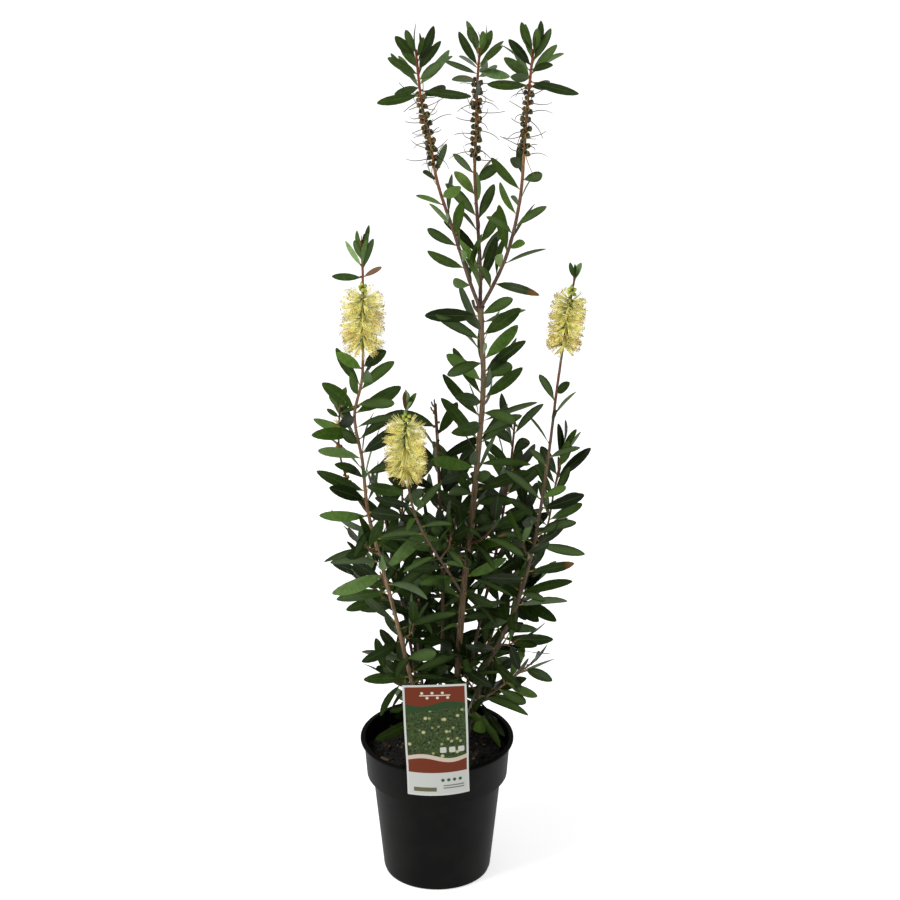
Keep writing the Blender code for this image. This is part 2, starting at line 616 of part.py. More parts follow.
def grow_brush(run, path, owner, collection):
    """The flower brush round its stem: a drum of bristles with round ends, its surface pushed in
    and out in turn."""
    ends = path.at_height(run.low), path.at_height(run.high)
    bm = bmesh.new()
    bmesh.ops.create_uvsphere(bm, u_segments=BRUSH_AROUND, v_segments=BRUSH_ALONG, radius=1)
    for vertex in bm.verts:
        polar = math.acos(max(-1, min(1, -vertex.co.z)))
        turn = math.atan2(vertex.co.y, vertex.co.x)
        ring = round(polar / math.pi * BRUSH_ALONG)
        spike = (ring + round(turn / math.tau * BRUSH_AROUND)) % 2
        point, direction = path.at(mix(ends, ring / BRUSH_ALONG))
        profile = min(1, 1.25 * math.sin(polar) ** 0.45)
        radius = run.width / 2 * MM * profile * (1 if spike else BRUSH_HOLLOW)
        lift = BRUSH_DOMING * profile * -math.cos(polar) ** 3
        vertex.co = point + outward(direction, turn) * radius + direction * lift
    face_outwards(bm)
    remember(bm, owner + " brush")
    object_from(bm, "brush", collection)


def grow_twig(twig, parent, collection):
    """A thin twig from its stem's axis outwards. Returns its path."""
    base, _ = parent.at(parent.at_height(twig.height))
    path = smooth_path([base / CM, *twig.points])
    path = path.thinned(steps(0, path.length, 16 * MM))
    bm = tube_mesh("twig", path, lambda run: mix(TWIG_RADII, run / path.length), 0)
    remember(bm, twig.stem + " twig")
    object_from(bm, "twig", collection)
    return path


def grow_twig_leaves(path, rng, owner, collection):
    azimuth = rng.uniform(0, math.tau)
    ends = TWIG_BARE, path.length - TIP_ROOM
    count = round((ends[1] - ends[0]) / TWIG_LEAF_SPACING)
    for i in range(count):
        share = i / (count - 1)
        grow_leaf((*path.at(mix(ends, share)), 0), azimuth, math.radians(mix(TWIG_LEAF_LEANS, share)),
                  mix(TWIG_LEAF_LENGTHS, share) * MM, TWIG_LEAF_WIDTH * MM, rng, owner,
                  (owner + " twig",), collection)
        azimuth += GOLDEN_ANGLE


def biggest_body(bm):
    """Drops any scrap that isn't joined to the biggest body."""
    left = set(bm.verts)
    bodies = []
    while left:
        body, edge = set(), [left.pop()]
        while edge:
            vertex = edge.pop()
            body.add(vertex)
            for joined in vertex.link_edges:
                other = joined.other_vert(vertex)
                if other in left:
                    left.remove(other)
                    edge.append(other)
        bodies.append(body)
    bodies.sort(key=len)
    scraps = [vertex for body in bodies[:-1] for vertex in body]
    bmesh.ops.delete(bm, geom=scraps, context="VERTS")


def fuse(core, collection, name, bore=None):
    """Joins the core and what grows on it into one closed solid, and then cuts the bore."""
    join = core.modifiers.new("fuse", "BOOLEAN")
    join.operation = "UNION"
    join.solver = "EXACT"
    join.operand_type = "COLLECTION"
    join.collection = collection
    if bore:
        cut = core.modifiers.new("bore", "BOOLEAN")
        cut.operation = "DIFFERENCE"
        cut.solver = "EXACT"
        cut.object = bore
    bm = evaluated_mesh(core)
    biggest_body(bm)
    for obj in [core, *collection.objects]:
        bpy.data.objects.remove(obj, do_unlink=True)
    if bore:
        bpy.data.objects.remove(bore, do_unlink=True)
    bpy.data.collections.remove(collection)
    return finish(object_from(bm, name, parts), "foliage")


def new_growth(name):
    collection = bpy.data.collections.new(name + "_growth")
    bpy.context.scene.collection.children.link(collection)
    return collection


class Sleeve:
    """The trunk's own foliage: a thin tube up round the trunk and clear of it, with leaves on it."""

    def __init__(self, name, run, path):
        self.name = name
        self.run = run
        self.path = path
        self.growth = new_growth(name)
        low, high = path.at_height(run.low) - 6 * MM, path.at_height(run.high) + 6 * MM
        rings = [ring for ring in path.run if low + 4 * MM < ring < high - 4 * MM]
        self.core = self.tube_round(name + "_core", [low, *rings, high], self.outer)
        self.bore = self.tube_round(name + "_bore", [low - 5 * MM, *rings, high + 5 * MM], self.inner)

    def tube_round(self, name, runs, radius_at):
        path = self.path.thinned(runs)
        return object_from(tube_mesh(name, path, radius_at, (TRUNK_SIDES - 4) // 2), name, cutters)

    def inner(self, run):
        return (trunk_radius(self.path, run) + GAP) / math.cos(math.pi / TRUNK_SIDES)

    def outer(self, run):
        return self.inner(run) + SLEEVE_WALL

    def grow_leaves(self):
        grow_run(self.run, self.path, lambda run: trunk_radius(self.path, run), random.Random(self.name),
                 self.name, (self.name, "trunk"), self.growth)

    def fuse(self):
        fuse(self.core, self.growth, self.name, self.bore)


class Mass:
    """A stem that goes on from its bare limb, with all that grows on it."""

    def __init__(self, name, limb, trunk_path):
        self.name = name
        self.limb = limb
        points = limb.points
        if name in ON_TRUNK:
            points = [branch_foot(trunk_path, points[0], points[1], limb.foot_radius), *points[1:]]
        rooted = name not in ON_TRUNK
        path = smooth_path(points, upright_foot=rooted)
        self.length = path.length
        split = path.at_height(limb.bare_to)
        rings = steps(0, split, RING_STEP)
        if rooted:
            rings.insert(1, 3 * MM)
        bare = path.thinned(rings)
        limb_tube = finish(tube(name, bare, self.radius_at, 1, parts), "bark")
        remember_object(limb_tube, name)
        self.path = path.thinned(steps(split + GAP, path.length, RING_STEP))
        bm = tube_mesh(name, self.path, self.radius_at, 1)
        remember(bm, name + " stem")
        self.core = object_from(bm, name + "_core", cutters)
        self.growth = new_growth(name)

    def radius_at(self, run):
        return mix((self.limb.foot_radius, self.limb.tip_radius), run / self.length)

    def grow_fruit_and_flowers(self):
        rng = random.Random(self.name)
        for run in GROWTH[self.name]:
            if isinstance(run, Brush):
                grow_brush(run, self.path, self.name, self.growth)
            elif isinstance(run, Cups):
                grow_cups(run, self.path, self.radius_at, rng, self.name, self.growth)

    def grow_leaves(self):
        rng = random.Random(self.name)
        for run in GROWTH[self.name]:
            if isinstance(run, Leaves):
                grow_run(run, self.path, lambda here: 0.2 * self.radius_at(here), rng, self.name,
                         (self.name + " stem",), self.growth)

    def fuse(self):
        fuse(self.core, self.growth, self.name + "_foliage")


def remember_object(obj, owner):
    bm = evaluated_mesh(obj)
    remember(bm, owner)
    bm.free()


def main():
    clear_scene()
    trunk_path = smooth_path(TRUNK, upright_foot=True, upright_tip=True)
    trunk_path = trunk_path.thinned(trunk_rings(trunk_path))
    rooted = [TRUNK[0], *(limb.points[0] for limb in LIMBS.values() if limb.points[0][2] == SOIL)]
    feet = [Vector(foot[:2]) * CM for foot in rooted]
    for obj in (make_pot(), make_potting_mix(feet), make_label_card(), make_trunk(trunk_path)):
        remember_object(obj, obj.name)

    masses = {name: Mass(name, limb, trunk_path) for name, limb in LIMBS.items()}
    masses.update({name: Sleeve(name, run, trunk_path) for name, run in SLEEVES.items()})
    for name in GROWTH:
        masses[name].grow_fruit_and_flowers()
    twig_paths = [grow_twig(twig, masses[twig.stem].path, masses[twig.stem].growth) for twig in TWIGS]
    for mass in masses.values():
        mass.grow_leaves()
    for i, (twig, path) in enumerate(zip(TWIGS, twig_paths)):
        grow_twig_leaves(path, random.Random(i), twig.stem, masses[twig.stem].growth)
    for mass in masses.values():
        mass.fuse()


main()
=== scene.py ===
"""The looks of a bottlebrush shrub about 1.17 m tall that grows in a round nursery pot.

The sections follow the plant as it is put together: pot, potting mix, label card, bark, leaves,
buds, seed cups and flower brushes, and then the studio.
"""

import math
import random
from collections import defaultdict, namedtuple

import bmesh
import bpy
import numpy as np
from mathutils import Matrix, Vector, noise


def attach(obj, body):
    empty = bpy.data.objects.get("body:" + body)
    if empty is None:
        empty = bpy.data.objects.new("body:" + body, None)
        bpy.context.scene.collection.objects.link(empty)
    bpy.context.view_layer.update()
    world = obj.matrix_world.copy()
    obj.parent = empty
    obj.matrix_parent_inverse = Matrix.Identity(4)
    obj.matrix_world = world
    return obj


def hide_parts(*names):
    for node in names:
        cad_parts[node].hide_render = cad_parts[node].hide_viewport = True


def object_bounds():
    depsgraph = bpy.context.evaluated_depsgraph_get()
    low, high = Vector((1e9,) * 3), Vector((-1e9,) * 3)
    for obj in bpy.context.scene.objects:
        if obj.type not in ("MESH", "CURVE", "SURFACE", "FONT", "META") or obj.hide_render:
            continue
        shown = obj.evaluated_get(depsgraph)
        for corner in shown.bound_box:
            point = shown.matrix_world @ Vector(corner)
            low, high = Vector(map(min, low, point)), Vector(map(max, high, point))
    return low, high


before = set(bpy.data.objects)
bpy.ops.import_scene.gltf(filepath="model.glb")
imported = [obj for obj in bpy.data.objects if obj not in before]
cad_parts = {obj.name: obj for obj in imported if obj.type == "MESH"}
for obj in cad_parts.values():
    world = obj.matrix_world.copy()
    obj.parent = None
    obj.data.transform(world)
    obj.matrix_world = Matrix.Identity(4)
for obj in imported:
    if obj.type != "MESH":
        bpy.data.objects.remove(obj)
cad_low, cad_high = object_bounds()


# The pot: a nursery pot of charcoal polypropylene, injection moulded in one piece with a thin lip,
# a deep collar, a tapering body and eight drain holes in its base.
MM = 0.001
POT_STEPS = 144
POT_HEIGHT = 192.0
LIP_RADIUS = 98.6
POT_PROFILE = [  # radius and height in millimetres, up the inside and down the outside
    (0, 1.6), (63.4, 1.6), (67.4, 6), (81.0, 139), (81.3, 141.6), (88.8, 141.6), (92.4, 189),
    (92.4, 191.2), (93.2, 192), (97.8, 192), (98.6, 191.2), (98.6, 189), (94, 188.2), (90.3, 140),
    (82.8, 140), (69, 6), (67.4, 1.5), (65, 0), (0, 0),
]
CORNER_ANGLE = 0.7
CORNER_ROUNDING = 0.35 * MM
DRAIN_HOLES = 8
DRAIN_RADIUS = 4.5 * MM
DRAIN_RING = 48 * MM


def linear(code):
    """An sRGB hex colour as linear RGBA."""
    channels = [int(code[i:i + 2], 16) / 255 for i in (1, 3, 5)]
    return (*(c / 12.92 if c <= 0.04045 else ((c + 0.055) / 1.055) ** 2.4 for c in channels), 1.0)


def new_material(name, colour, roughness):
    """A material with its plain shader, which the section then adds to."""
    material = bpy.data.materials.new(name)
    material.use_nodes = True
    shader = material.node_tree.nodes["Principled BSDF"]
    shader.inputs["Base Color"].default_value = linear(colour)
    shader.inputs["Roughness"].default_value = roughness
    return material, material.node_tree, shader


def add_node(tree, kind, inputs, **settings):
    """Adds a node with its settings. An input is a plain value or another node's output."""
    node = tree.nodes.new(kind)
    for name, value in settings.items():
        setattr(node, name, value)
    for name, value in inputs.items():
        if isinstance(value, bpy.types.NodeSocket):
            tree.links.new(value, node.inputs[name])
        else:
            node.inputs[name].default_value = value
    return node


def spun(profile, spin_steps):
    """A turned solid round the Z axis from (radius, height) pairs in millimetres."""
    bm = bmesh.new()
    dots = [bm.verts.new((radius * MM, 0, height * MM)) for radius, height in profile]
    edges = [bm.edges.new(pair) for pair in zip(dots, dots[1:])]
    bmesh.ops.spin(bm, geom=dots + edges, axis=(0, 0, 1), cent=(0, 0, 0), angle=math.tau,
                   steps=spin_steps, use_merge=True)
    bmesh.ops.remove_doubles(bm, verts=bm.verts, dist=0.01 * MM)
    bmesh.ops.recalc_face_normals(bm, faces=bm.faces)
    return bm


def add_piece(name, mesh, material, nodes, sharp=40):
    """Shows a mesh as a piece of the plant, smooth but for its sharp edges, on the root body."""
    mesh.name = name
    mesh.shade_smooth()
    mesh.set_sharp_from_angle(angle=math.radians(sharp))
    mesh.materials.clear()
    mesh.materials.append(material)
    piece = bpy.data.objects.new(name, mesh)
    bpy.context.scene.collection.objects.link(piece)
    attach(piece, "root")
    if nodes:
        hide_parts(*nodes)
    return piece


def mesh_of(bm):
    mesh = bpy.data.meshes.new("mesh")
    bm.to_mesh(mesh)
    bm.free()
    return mesh


bm = spun(POT_PROFILE, POT_STEPS)
corners = [edge for edge in bm.edges if edge.calc_face_angle(0) > CORNER_ANGLE]
bmesh.ops.bevel(bm, geom=corners, offset=CORNER_ROUNDING, segments=2, profile=0.5, affect="EDGES",
                material=-1)
pot_mesh = mesh_of(bm)
bm = bmesh.new()
for i in range(DRAIN_HOLES):
    place = Matrix.Rotation(math.tau * (i + 0.5) / DRAIN_HOLES, 4, "Z")
    place = place @ Matrix.Translation((DRAIN_RING, 0, 0))
    bmesh.ops.create_cone(bm, cap_ends=True, segments=24, radius1=DRAIN_RADIUS, radius2=DRAIN_RADIUS,
                          depth=8 * MM, matrix=place)
drills = bpy.data.objects.new("drills", mesh_of(bm))
blank = bpy.data.objects.new("blank", pot_mesh)
for helper in (drills, blank):
    bpy.context.scene.collection.objects.link(helper)
drilled = blank.modifiers.new("drain holes", "BOOLEAN")
drilled.operation = "DIFFERENCE"
drilled.object = drills
graph = bpy.context.evaluated_depsgraph_get()
pot_mesh = bpy.data.meshes.new_from_object(blank.evaluated_get(graph), depsgraph=graph)
for helper in (drills, blank):
    bpy.data.objects.remove(helper, do_unlink=True)

# Moulded polypropylene: an even dark grey with a soft sheen, a fine grain and a little dust.
material, tree, shader = new_material("charcoal moulded polypropylene", "#0b0b0b", 0.5)
shader.inputs["Specular IOR Level"].default_value = 0.045
place = add_node(tree, "ShaderNodeTexCoord", {}).outputs["Object"]
dust = add_node(tree, "ShaderNodeTexNoise", {"Vector": place, "Scale": 26, "Detail": 6,
                                             "Roughness": 0.65}).outputs["Fac"]
dust = add_node(tree, "ShaderNodeMapRange", {"Value": dust, "From Min": 0.42, "From Max": 0.78})
tint = add_node(tree, "ShaderNodeMix", {0: dust.outputs[0], 6: linear("#090909"), 7: linear("#131210")},
                data_type="RGBA")
tree.links.new(tint.outputs[2], shader.inputs["Base Color"])
grain = add_node(tree, "ShaderNodeTexNoise", {"Vector": place, "Scale": 1100, "Detail": 2})
bump = add_node(tree, "ShaderNodeBump", {"Height": grain.outputs["Fac"], "Strength": 0.12,
                                         "Distance": 0.3 * MM})
tree.links.new(bump.outputs[0], shader.inputs["Normal"])
add_piece("moulded_pot", pot_mesh, material, ["pot"], sharp=30)


# The potting mix: damp composted bark, nearly black, with fresher chips of red-brown and tan bark
# lying in it. It fills the pot to a little below the lip.
MIX_TOP = 167.6
MIX_EDGE = 90.3
MIX_UNDERSIDE = [(88.4, 142.2), (80.8, 142.2), (67, 6), (63, 2), (0, 2)]
MIX_RINGS = 42
LUMP_WIDTH, LUMP_HEIGHT = 11 * MM, 1.5 * MM
LUMP_LOW, LUMP_HIGH = -1.2, 0.9
CHIP_COUNT = 2100
SHORT_CHIPS, LONG_CHIPS = (2, 6), (6, 13)
SHORT_CHIP_SHARE = 0.8
# The chips' colours, with how many in a hundred have them.
CHIP_COLOURS = [("#090704", 46), ("#100c07", 30), ("#1d140c", 14), ("#342214", 6), ("#655236", 4)]
mix_top = [(MIX_EDGE * i / MIX_RINGS, MIX_TOP) for i in range(MIX_RINGS + 1)]
bm = spun(mix_top + MIX_UNDERSIDE, 120)
for vertex in bm.verts:
    if vertex.co.z > (MIX_TOP - 0.1) * MM:
        rough = noise.fractal(vertex.co / LUMP_WIDTH, 0.7, 2.2, 4)
        vertex.co.z += LUMP_HEIGHT * max(LUMP_LOW, min(LUMP_HIGH, 1.6 * rough))
mix_mesh = mesh_of(bm)
material, tree, shader = new_material("damp composted bark", "#15100c", 0.95)
place = add_node(tree, "ShaderNodeTexCoord", {}).outputs["Object"]
crumbs = add_node(tree, "ShaderNodeTexNoise", {"Vector": place, "Scale": 520, "Detail": 5,
                                               "Roughness": 0.7}).outputs["Fac"]
patch = add_node(tree, "ShaderNodeMapRange", {"Value": crumbs, "From Min": 0.4, "From Max": 0.68})
tint = add_node(tree, "ShaderNodeMix", {0: patch.outputs[0], 6: linear("#060503"), 7: linear("#170f09")},
                data_type="RGBA")
tree.links.new(tint.outputs[2], shader.inputs["Base Color"])
bump = add_node(tree, "ShaderNodeBump", {"Height": crumbs, "Strength": 0.9, "Distance": 1.5 * MM})
tree.links.new(bump.outputs[0], shader.inputs["Normal"])
add_piece("potting_mix_bed", mix_mesh, material, ["potting_mix"], sharp=80)


class Copies:
    """Many copies of one small shape joined in one mesh, each with its own points and colours."""

    def __init__(self, bm):
        bm.verts.index_update()
        self.shape = np.array([tuple(vertex.co) for vertex in bm.verts])
        self.faces = [[vertex.index for vertex in face.verts] for face in bm.faces]
        bm.free()
        self.points = []
        self.facts = defaultdict(list)

    def add(self, points, **facts):
        """Adds a copy. A fact is one colour for it all, or one value for each of its points."""
        self.points.append(points)
        for name, value in facts.items():
            self.facts[name].append(np.broadcast_to(value, (len(self.shape), np.shape(value)[-1])))

    def mesh(self):
        starts = range(0, len(self.shape) * len(self.points), len(self.shape))
        faces = [[start + index for index in face] for start in starts for face in self.faces]
        mesh = bpy.data.meshes.new("copies")
        mesh.from_pydata(np.concatenate(self.points).tolist(), [], faces)
        for name, values in self.facts.items():
            values = np.concatenate(values).astype(np.float32)
            kind = "FLOAT_COLOR" if values.shape[1] == 4 else "FLOAT_VECTOR"
            attribute = mesh.attributes.new(name, kind, "POINT")
            attribute.data.foreach_set(kind.split("_")[1].lower(), values.ravel())
        return mesh


def placed(points, matrix):
    """The points moved by a 4x4 matrix."""
    matrix = np.array(matrix)
    return points @ matrix[:3, :3].T + matrix[:3, 3]


def dealt_colours(name, colour, roughness, attribute):
    """A material whose base colour each copy has in an attribute."""
    material, tree, shader = new_material(name, colour, roughness)
    dealt = add_node(tree, "ShaderNodeAttribute", {}, attribute_name=attribute).outputs["Color"]
    tree.links.new(dealt, shader.inputs["Base Color"])
    return material, tree, shader, dealt


def add_mottle(tree, shader, dealt, grain, light, bump):
    """Varies a dealt colour with a noise, and raises the surface by it. The grain is the noise's
    scale, detail, low and high; light, how dark and light it makes; bump, a strength and distance."""
    scale, detail, low, high = grain
    place = add_node(tree, "ShaderNodeTexCoord", {}).outputs["Object"]
    mottle = add_node(tree, "ShaderNodeTexNoise", {"Vector": place, "Scale": scale, "Detail": detail})
    mottle = mottle.outputs["Fac"]
    shade = add_node(tree, "ShaderNodeMapRange", {"Value": mottle, "From Min": low, "From Max": high,
                                                  "To Min": light[0], "To Max": light[1]}).outputs[0]
    tint = add_node(tree, "ShaderNodeVectorMath", {0: dealt, "Scale": shade}, operation="SCALE")
    tree.links.new(tint.outputs[0], shader.inputs["Base Color"])
    raised = add_node(tree, "ShaderNodeBump", {"Height": mottle, "Strength": bump[0],
                                               "Distance": bump[1]})
    tree.links.new(raised.outputs[0], shader.inputs["Normal"])


bm = bmesh.new()
bmesh.ops.create_cube(bm, size=1)
chips = Copies(bm)
rng = random.Random(11)
palette = [linear(code) for code, share in CHIP_COLOURS for _ in range(share)]
for _ in range(CHIP_COUNT):
    ring = (MIX_EDGE - 4) * math.sqrt(rng.random())
    spot = Matrix.Rotation(rng.uniform(0, math.tau), 3, "Z") @ Vector((ring, 0, 0))
    spot.z = MIX_TOP + rng.uniform(-0.9, 1.3)
    length = rng.uniform(*SHORT_CHIPS) if rng.random() < SHORT_CHIP_SHARE else rng.uniform(*LONG_CHIPS)
    size = Vector((length, length * rng.uniform(0.3, 0.65), rng.uniform(0.7, 2.2)))
    turn = Matrix.Rotation(rng.uniform(0, math.tau), 4, "Z")
    turn = turn @ Matrix.Rotation(rng.gauss(0, 0.33), 4, "Y")
    turn = turn @ Matrix.Rotation(rng.gauss(0, 0.3), 4, "X")
    rough = np.array([[rng.uniform(0.55, 1.1) for _ in range(3)] for _ in chips.shape])
    points = placed(chips.shape * rough * np.array(size * MM), Matrix.Translation(spot * MM) @ turn)
    chips.add(points, chip_colour=rng.choice(palette))
# Bark chips: dull, each with its own colour, with the grain of the bark along them.
material, tree, shader, dealt = dealt_colours("bark chips", "#2c1d13", 0.9, "chip_colour")
add_mottle(tree, shader, dealt, (900, 3, 0, 1), (0.6, 1.35), (0.7, 0.5 * MM))
add_piece("bark_chips", chips.mesh(), material, [], sharp=50)


# The label: a card of white polystyrene, printed on its front, hung over the lip by a tongue at
# its back. It is bent round the lip at its foot and flat at its top. Its print is a plain pattern.
CARD_WIDTH = 81.0
CARD_HEIGHT = 160.0
CARD_FOOT = 160.0
CARD_SHIFT = 2.5
CARD_ROLL = math.radians(2.0)
CARD_THICKNESS = 0.8
CARD_FLAT_RADIUS = 1200.0
PLAY = 0.3
TONGUE_WIDTH = 16.0
TONGUE_TOP = POT_HEIGHT + PLAY + CARD_THICKNESS / 2
TONGUE_PARTS = [  # centre and size in depth and height: over the lip, and down inside the wall
    ((-95.6, TONGUE_TOP), (7.6, CARD_THICKNESS)), ((-91.8, TONGUE_TOP - 8), (CARD_THICKNESS, 16.8)),
]
front = LIP_RADIUS + PLAY + CARD_THICKNESS / 2
bm = bmesh.new()
bmesh.ops.create_grid(bm, x_segments=24, y_segments=40, size=0.5, calc_uvs=False)
card_place = bm.loops.layers.uv.new("card_mm")
for face in bm.faces:
    for loop in face.loops:
        loop[card_place].uv = loop.vert.co.x * CARD_WIDTH, (loop.vert.co.y + 0.5) * CARD_HEIGHT
for vertex in bm.verts:
    side, up = vertex.co.x * CARD_WIDTH, (vertex.co.y + 0.5) * CARD_HEIGHT
    across = side * math.cos(CARD_ROLL) - up * math.sin(CARD_ROLL) + CARD_SHIFT
    height = up * math.cos(CARD_ROLL) + side * math.sin(CARD_ROLL) + CARD_FOOT
    flatness = max(0, height - POT_HEIGHT) / CARD_HEIGHT
    radius = front + (CARD_FLAT_RADIUS - front) * flatness ** 2
    turn = across / radius
    vertex.co = Vector((radius * math.sin(turn), radius * (1 - math.cos(turn)) - front, height)) * MM
bmesh.ops.recalc_face_normals(bm, faces=bm.faces)
if sum(face.normal.y for face in bm.faces) > 0:
    bmesh.ops.reverse_faces(bm, faces=bm.faces)
bmesh.ops.solidify(bm, geom=bm.faces, thickness=CARD_THICKNESS * MM)
bmesh.ops.translate(bm, verts=bm.verts, vec=(0, -CARD_THICKNESS / 2 * MM, 0))
for (y, z), (deep, tall) in TONGUE_PARTS:
    size = Matrix.Diagonal((TONGUE_WIDTH * MM, deep * MM, tall * MM, 1))
    place = Matrix.Translation((CARD_SHIFT * MM, y * MM, z * MM))
    bmesh.ops.create_cube(bm, size=1, matrix=place @ size)

# Printed polystyrene: white with a slight gloss, but its white is painted a light grey all over as
# painted shade. The print is flat ink: bands of rust, green and cream with a wavy edge, a grey band
# at the foot in the same painted shade of white, a picture of leaves and pale blooms, and plain dots and
# bars.
SOFT_EDGE = 0.2
WAVE_TURN, WAVE_HEIGHT = 0.085, 3.4
NOWHERE = (0, 0, 0)
PRINT_BANDS = [  # from the top down, each band's upper edge, its slope, its waves and its colour
    (133.0, 0.0, 1.0, "#203c18"), (124.0, 0.12, 0.0, "picture"), (57.0, 0.0, -1.0, "#bcae9c"),
    (51.0, 0.0, -1.0, "#66270d"), (33.0, 0.0, 0.0, "#b7b9b4"),
]
PRINT_MARKS = [  # centre, half width and half height of a mark, the radius of its corners and its colour
    ((0.0, CARD_HEIGHT / 2), (CARD_WIDTH / 2 - 3.6, CARD_HEIGHT / 2 - 3.6), 1.0, "bands"),
    ((0.0, 145.0), (19.0, 0.0), 0.7, "#c6bfae"),
    *(((6.5 * i - 16.25, 148.4 - 6.8 * (i % 2)), (0.0, 0.0), 1.9, "#c6bfae") for i in range(6)),
    *(((31.0 - 11.5 * i, 66.0), (2.4, 2.4), 1.6, "#b9baae") for i in range(3)),
    ((-17.0, 9.0), (14.0, 2.2), 0.8, "#5c5a42"),
    *(((6.0 + 7.5 * i, 22.0), (0.0, 0.0), 2.3, "#2c5230") for i in range(4)),
    ((20.0, 10.5), (13.0, 0.3), 0.6, "#6c706a"), ((20.0, 14.0), (13.0, 0.3), 0.6, "#6c706a"),
]
# The card's light grey, also on its back and round the marks, is white darkened as painted shade.
material, tree, shader = new_material("printed white polystyrene", "#bfc1bc", 0.34)
place = add_node(tree, "ShaderNodeUVMap", {}, uv_map="card_mm").outputs[0]
shader.inputs["Specular IOR Level"].default_value = 0.15
across, up, _ = add_node(tree, "ShaderNodeSeparateXYZ", {"Vector": place}).outputs
swell = across
for operation, factor in (("MULTIPLY", WAVE_TURN), ("SINE", 0), ("MULTIPLY", WAVE_HEIGHT)):
    swell = add_node(tree, "ShaderNodeMath", {0: swell, 1: factor}, operation=operation).outputs[0]
sprays = add_node(tree, "ShaderNodeTexNoise", {"Vector": place, "Scale": 0.33, "Detail": 5,
                                               "Roughness": 0.7, "Distortion": 1.2}).outputs["Fac"]
spots = add_node(tree, "ShaderNodeTexVoronoi", {"Vector": place, "Scale": 0.1,
                                                "Randomness": 0.9}).outputs["Distance"]
picture = linear("#0c1408")
for pattern, low, high, colour in ((sprays, 0.4, 0.68, "#4a6129"), (spots, 0.3, 0.12, "#b5b184")):
    lit = add_node(tree, "ShaderNodeMapRange", {"Value": pattern, "From Min": low, "From Max": high})
    picture = add_node(tree, "ShaderNodeMix", {0: lit.outputs[0], 6: picture, 7: linear(colour)},
                       data_type="RGBA").outputs[2]
ink = linear("#66270d")
for edge, slope, waves, colour in PRINT_BANDS:
    line = add_node(tree, "ShaderNodeMath", {0: across, 1: slope, 2: edge}, operation="MULTIPLY_ADD")
    line = add_node(tree, "ShaderNodeMath", {0: swell, 1: waves, 2: line.outputs[0]},
                    operation="MULTIPLY_ADD")
    under = add_node(tree, "ShaderNodeMath", {0: line.outputs[0], 1: up}, operation="SUBTRACT")
    under = add_node(tree, "ShaderNodeMapRange", {"Value": under.outputs[0], "From Min": -SOFT_EDGE,
                                                  "From Max": SOFT_EDGE})
    band = picture if colour == "picture" else linear(colour)
    ink = add_node(tree, "ShaderNodeMix", {0: under.outputs[0], 6: ink, 7: band},
                   data_type="RGBA").outputs[2]
marked = linear("#bfc1bc")
for centre, half, corner, colour in PRINT_MARKS:
    off = place
    for operation, other in (("SUBTRACT", (*centre, 0)), ("ABSOLUTE", NOWHERE),
                             ("SUBTRACT", (*half, 0)), ("MAXIMUM", NOWHERE)):
        off = add_node(tree, "ShaderNodeVectorMath", {0: off, 1: other}, operation=operation).outputs[0]
    off = add_node(tree, "ShaderNodeVectorMath", {0: off}, operation="LENGTH").outputs["Value"]
    inside = add_node(tree, "ShaderNodeMapRange", {"Value": off, "From Min": corner + SOFT_EDGE,
                                                   "From Max": corner - SOFT_EDGE})
    paint = ink if colour == "bands" else linear(colour)
    marked = add_node(tree, "ShaderNodeMix", {0: inside.outputs[0], 6: marked, 7: paint},
                      data_type="RGBA").outputs[2]
facing = add_node(tree, "ShaderNodeNewGeometry", {}).outputs["True Normal"]
facing = add_node(tree, "ShaderNodeSeparateXYZ", {"Vector": facing}).outputs[1]
on_front = add_node(tree, "ShaderNodeMath", {0: facing, 1: -0.4}, operation="LESS_THAN")
printed = add_node(tree, "ShaderNodeMix", {0: on_front.outputs[0], 6: linear("#bfc1bc"), 7: marked},
                   data_type="RGBA")
tree.links.new(printed.outputs[2], shader.inputs["Base Color"])
add_piece("printed_label", mesh_of(bm), material, ["label_card"], sharp=30)


# The stems: woody limbs with thin fibrous bark, pale tan and grooved where they are old, smooth
# and red-brown where they are young. Each grows on from its bare foot through its leaves.
CM = 0.01
SOIL = 16.93
TRUNK_TOP = 79.0
# The limbs of the fork start just under the trunk's top.
FORK_FOOT = (5.4, 1.2, TRUNK_TOP - 0.3)
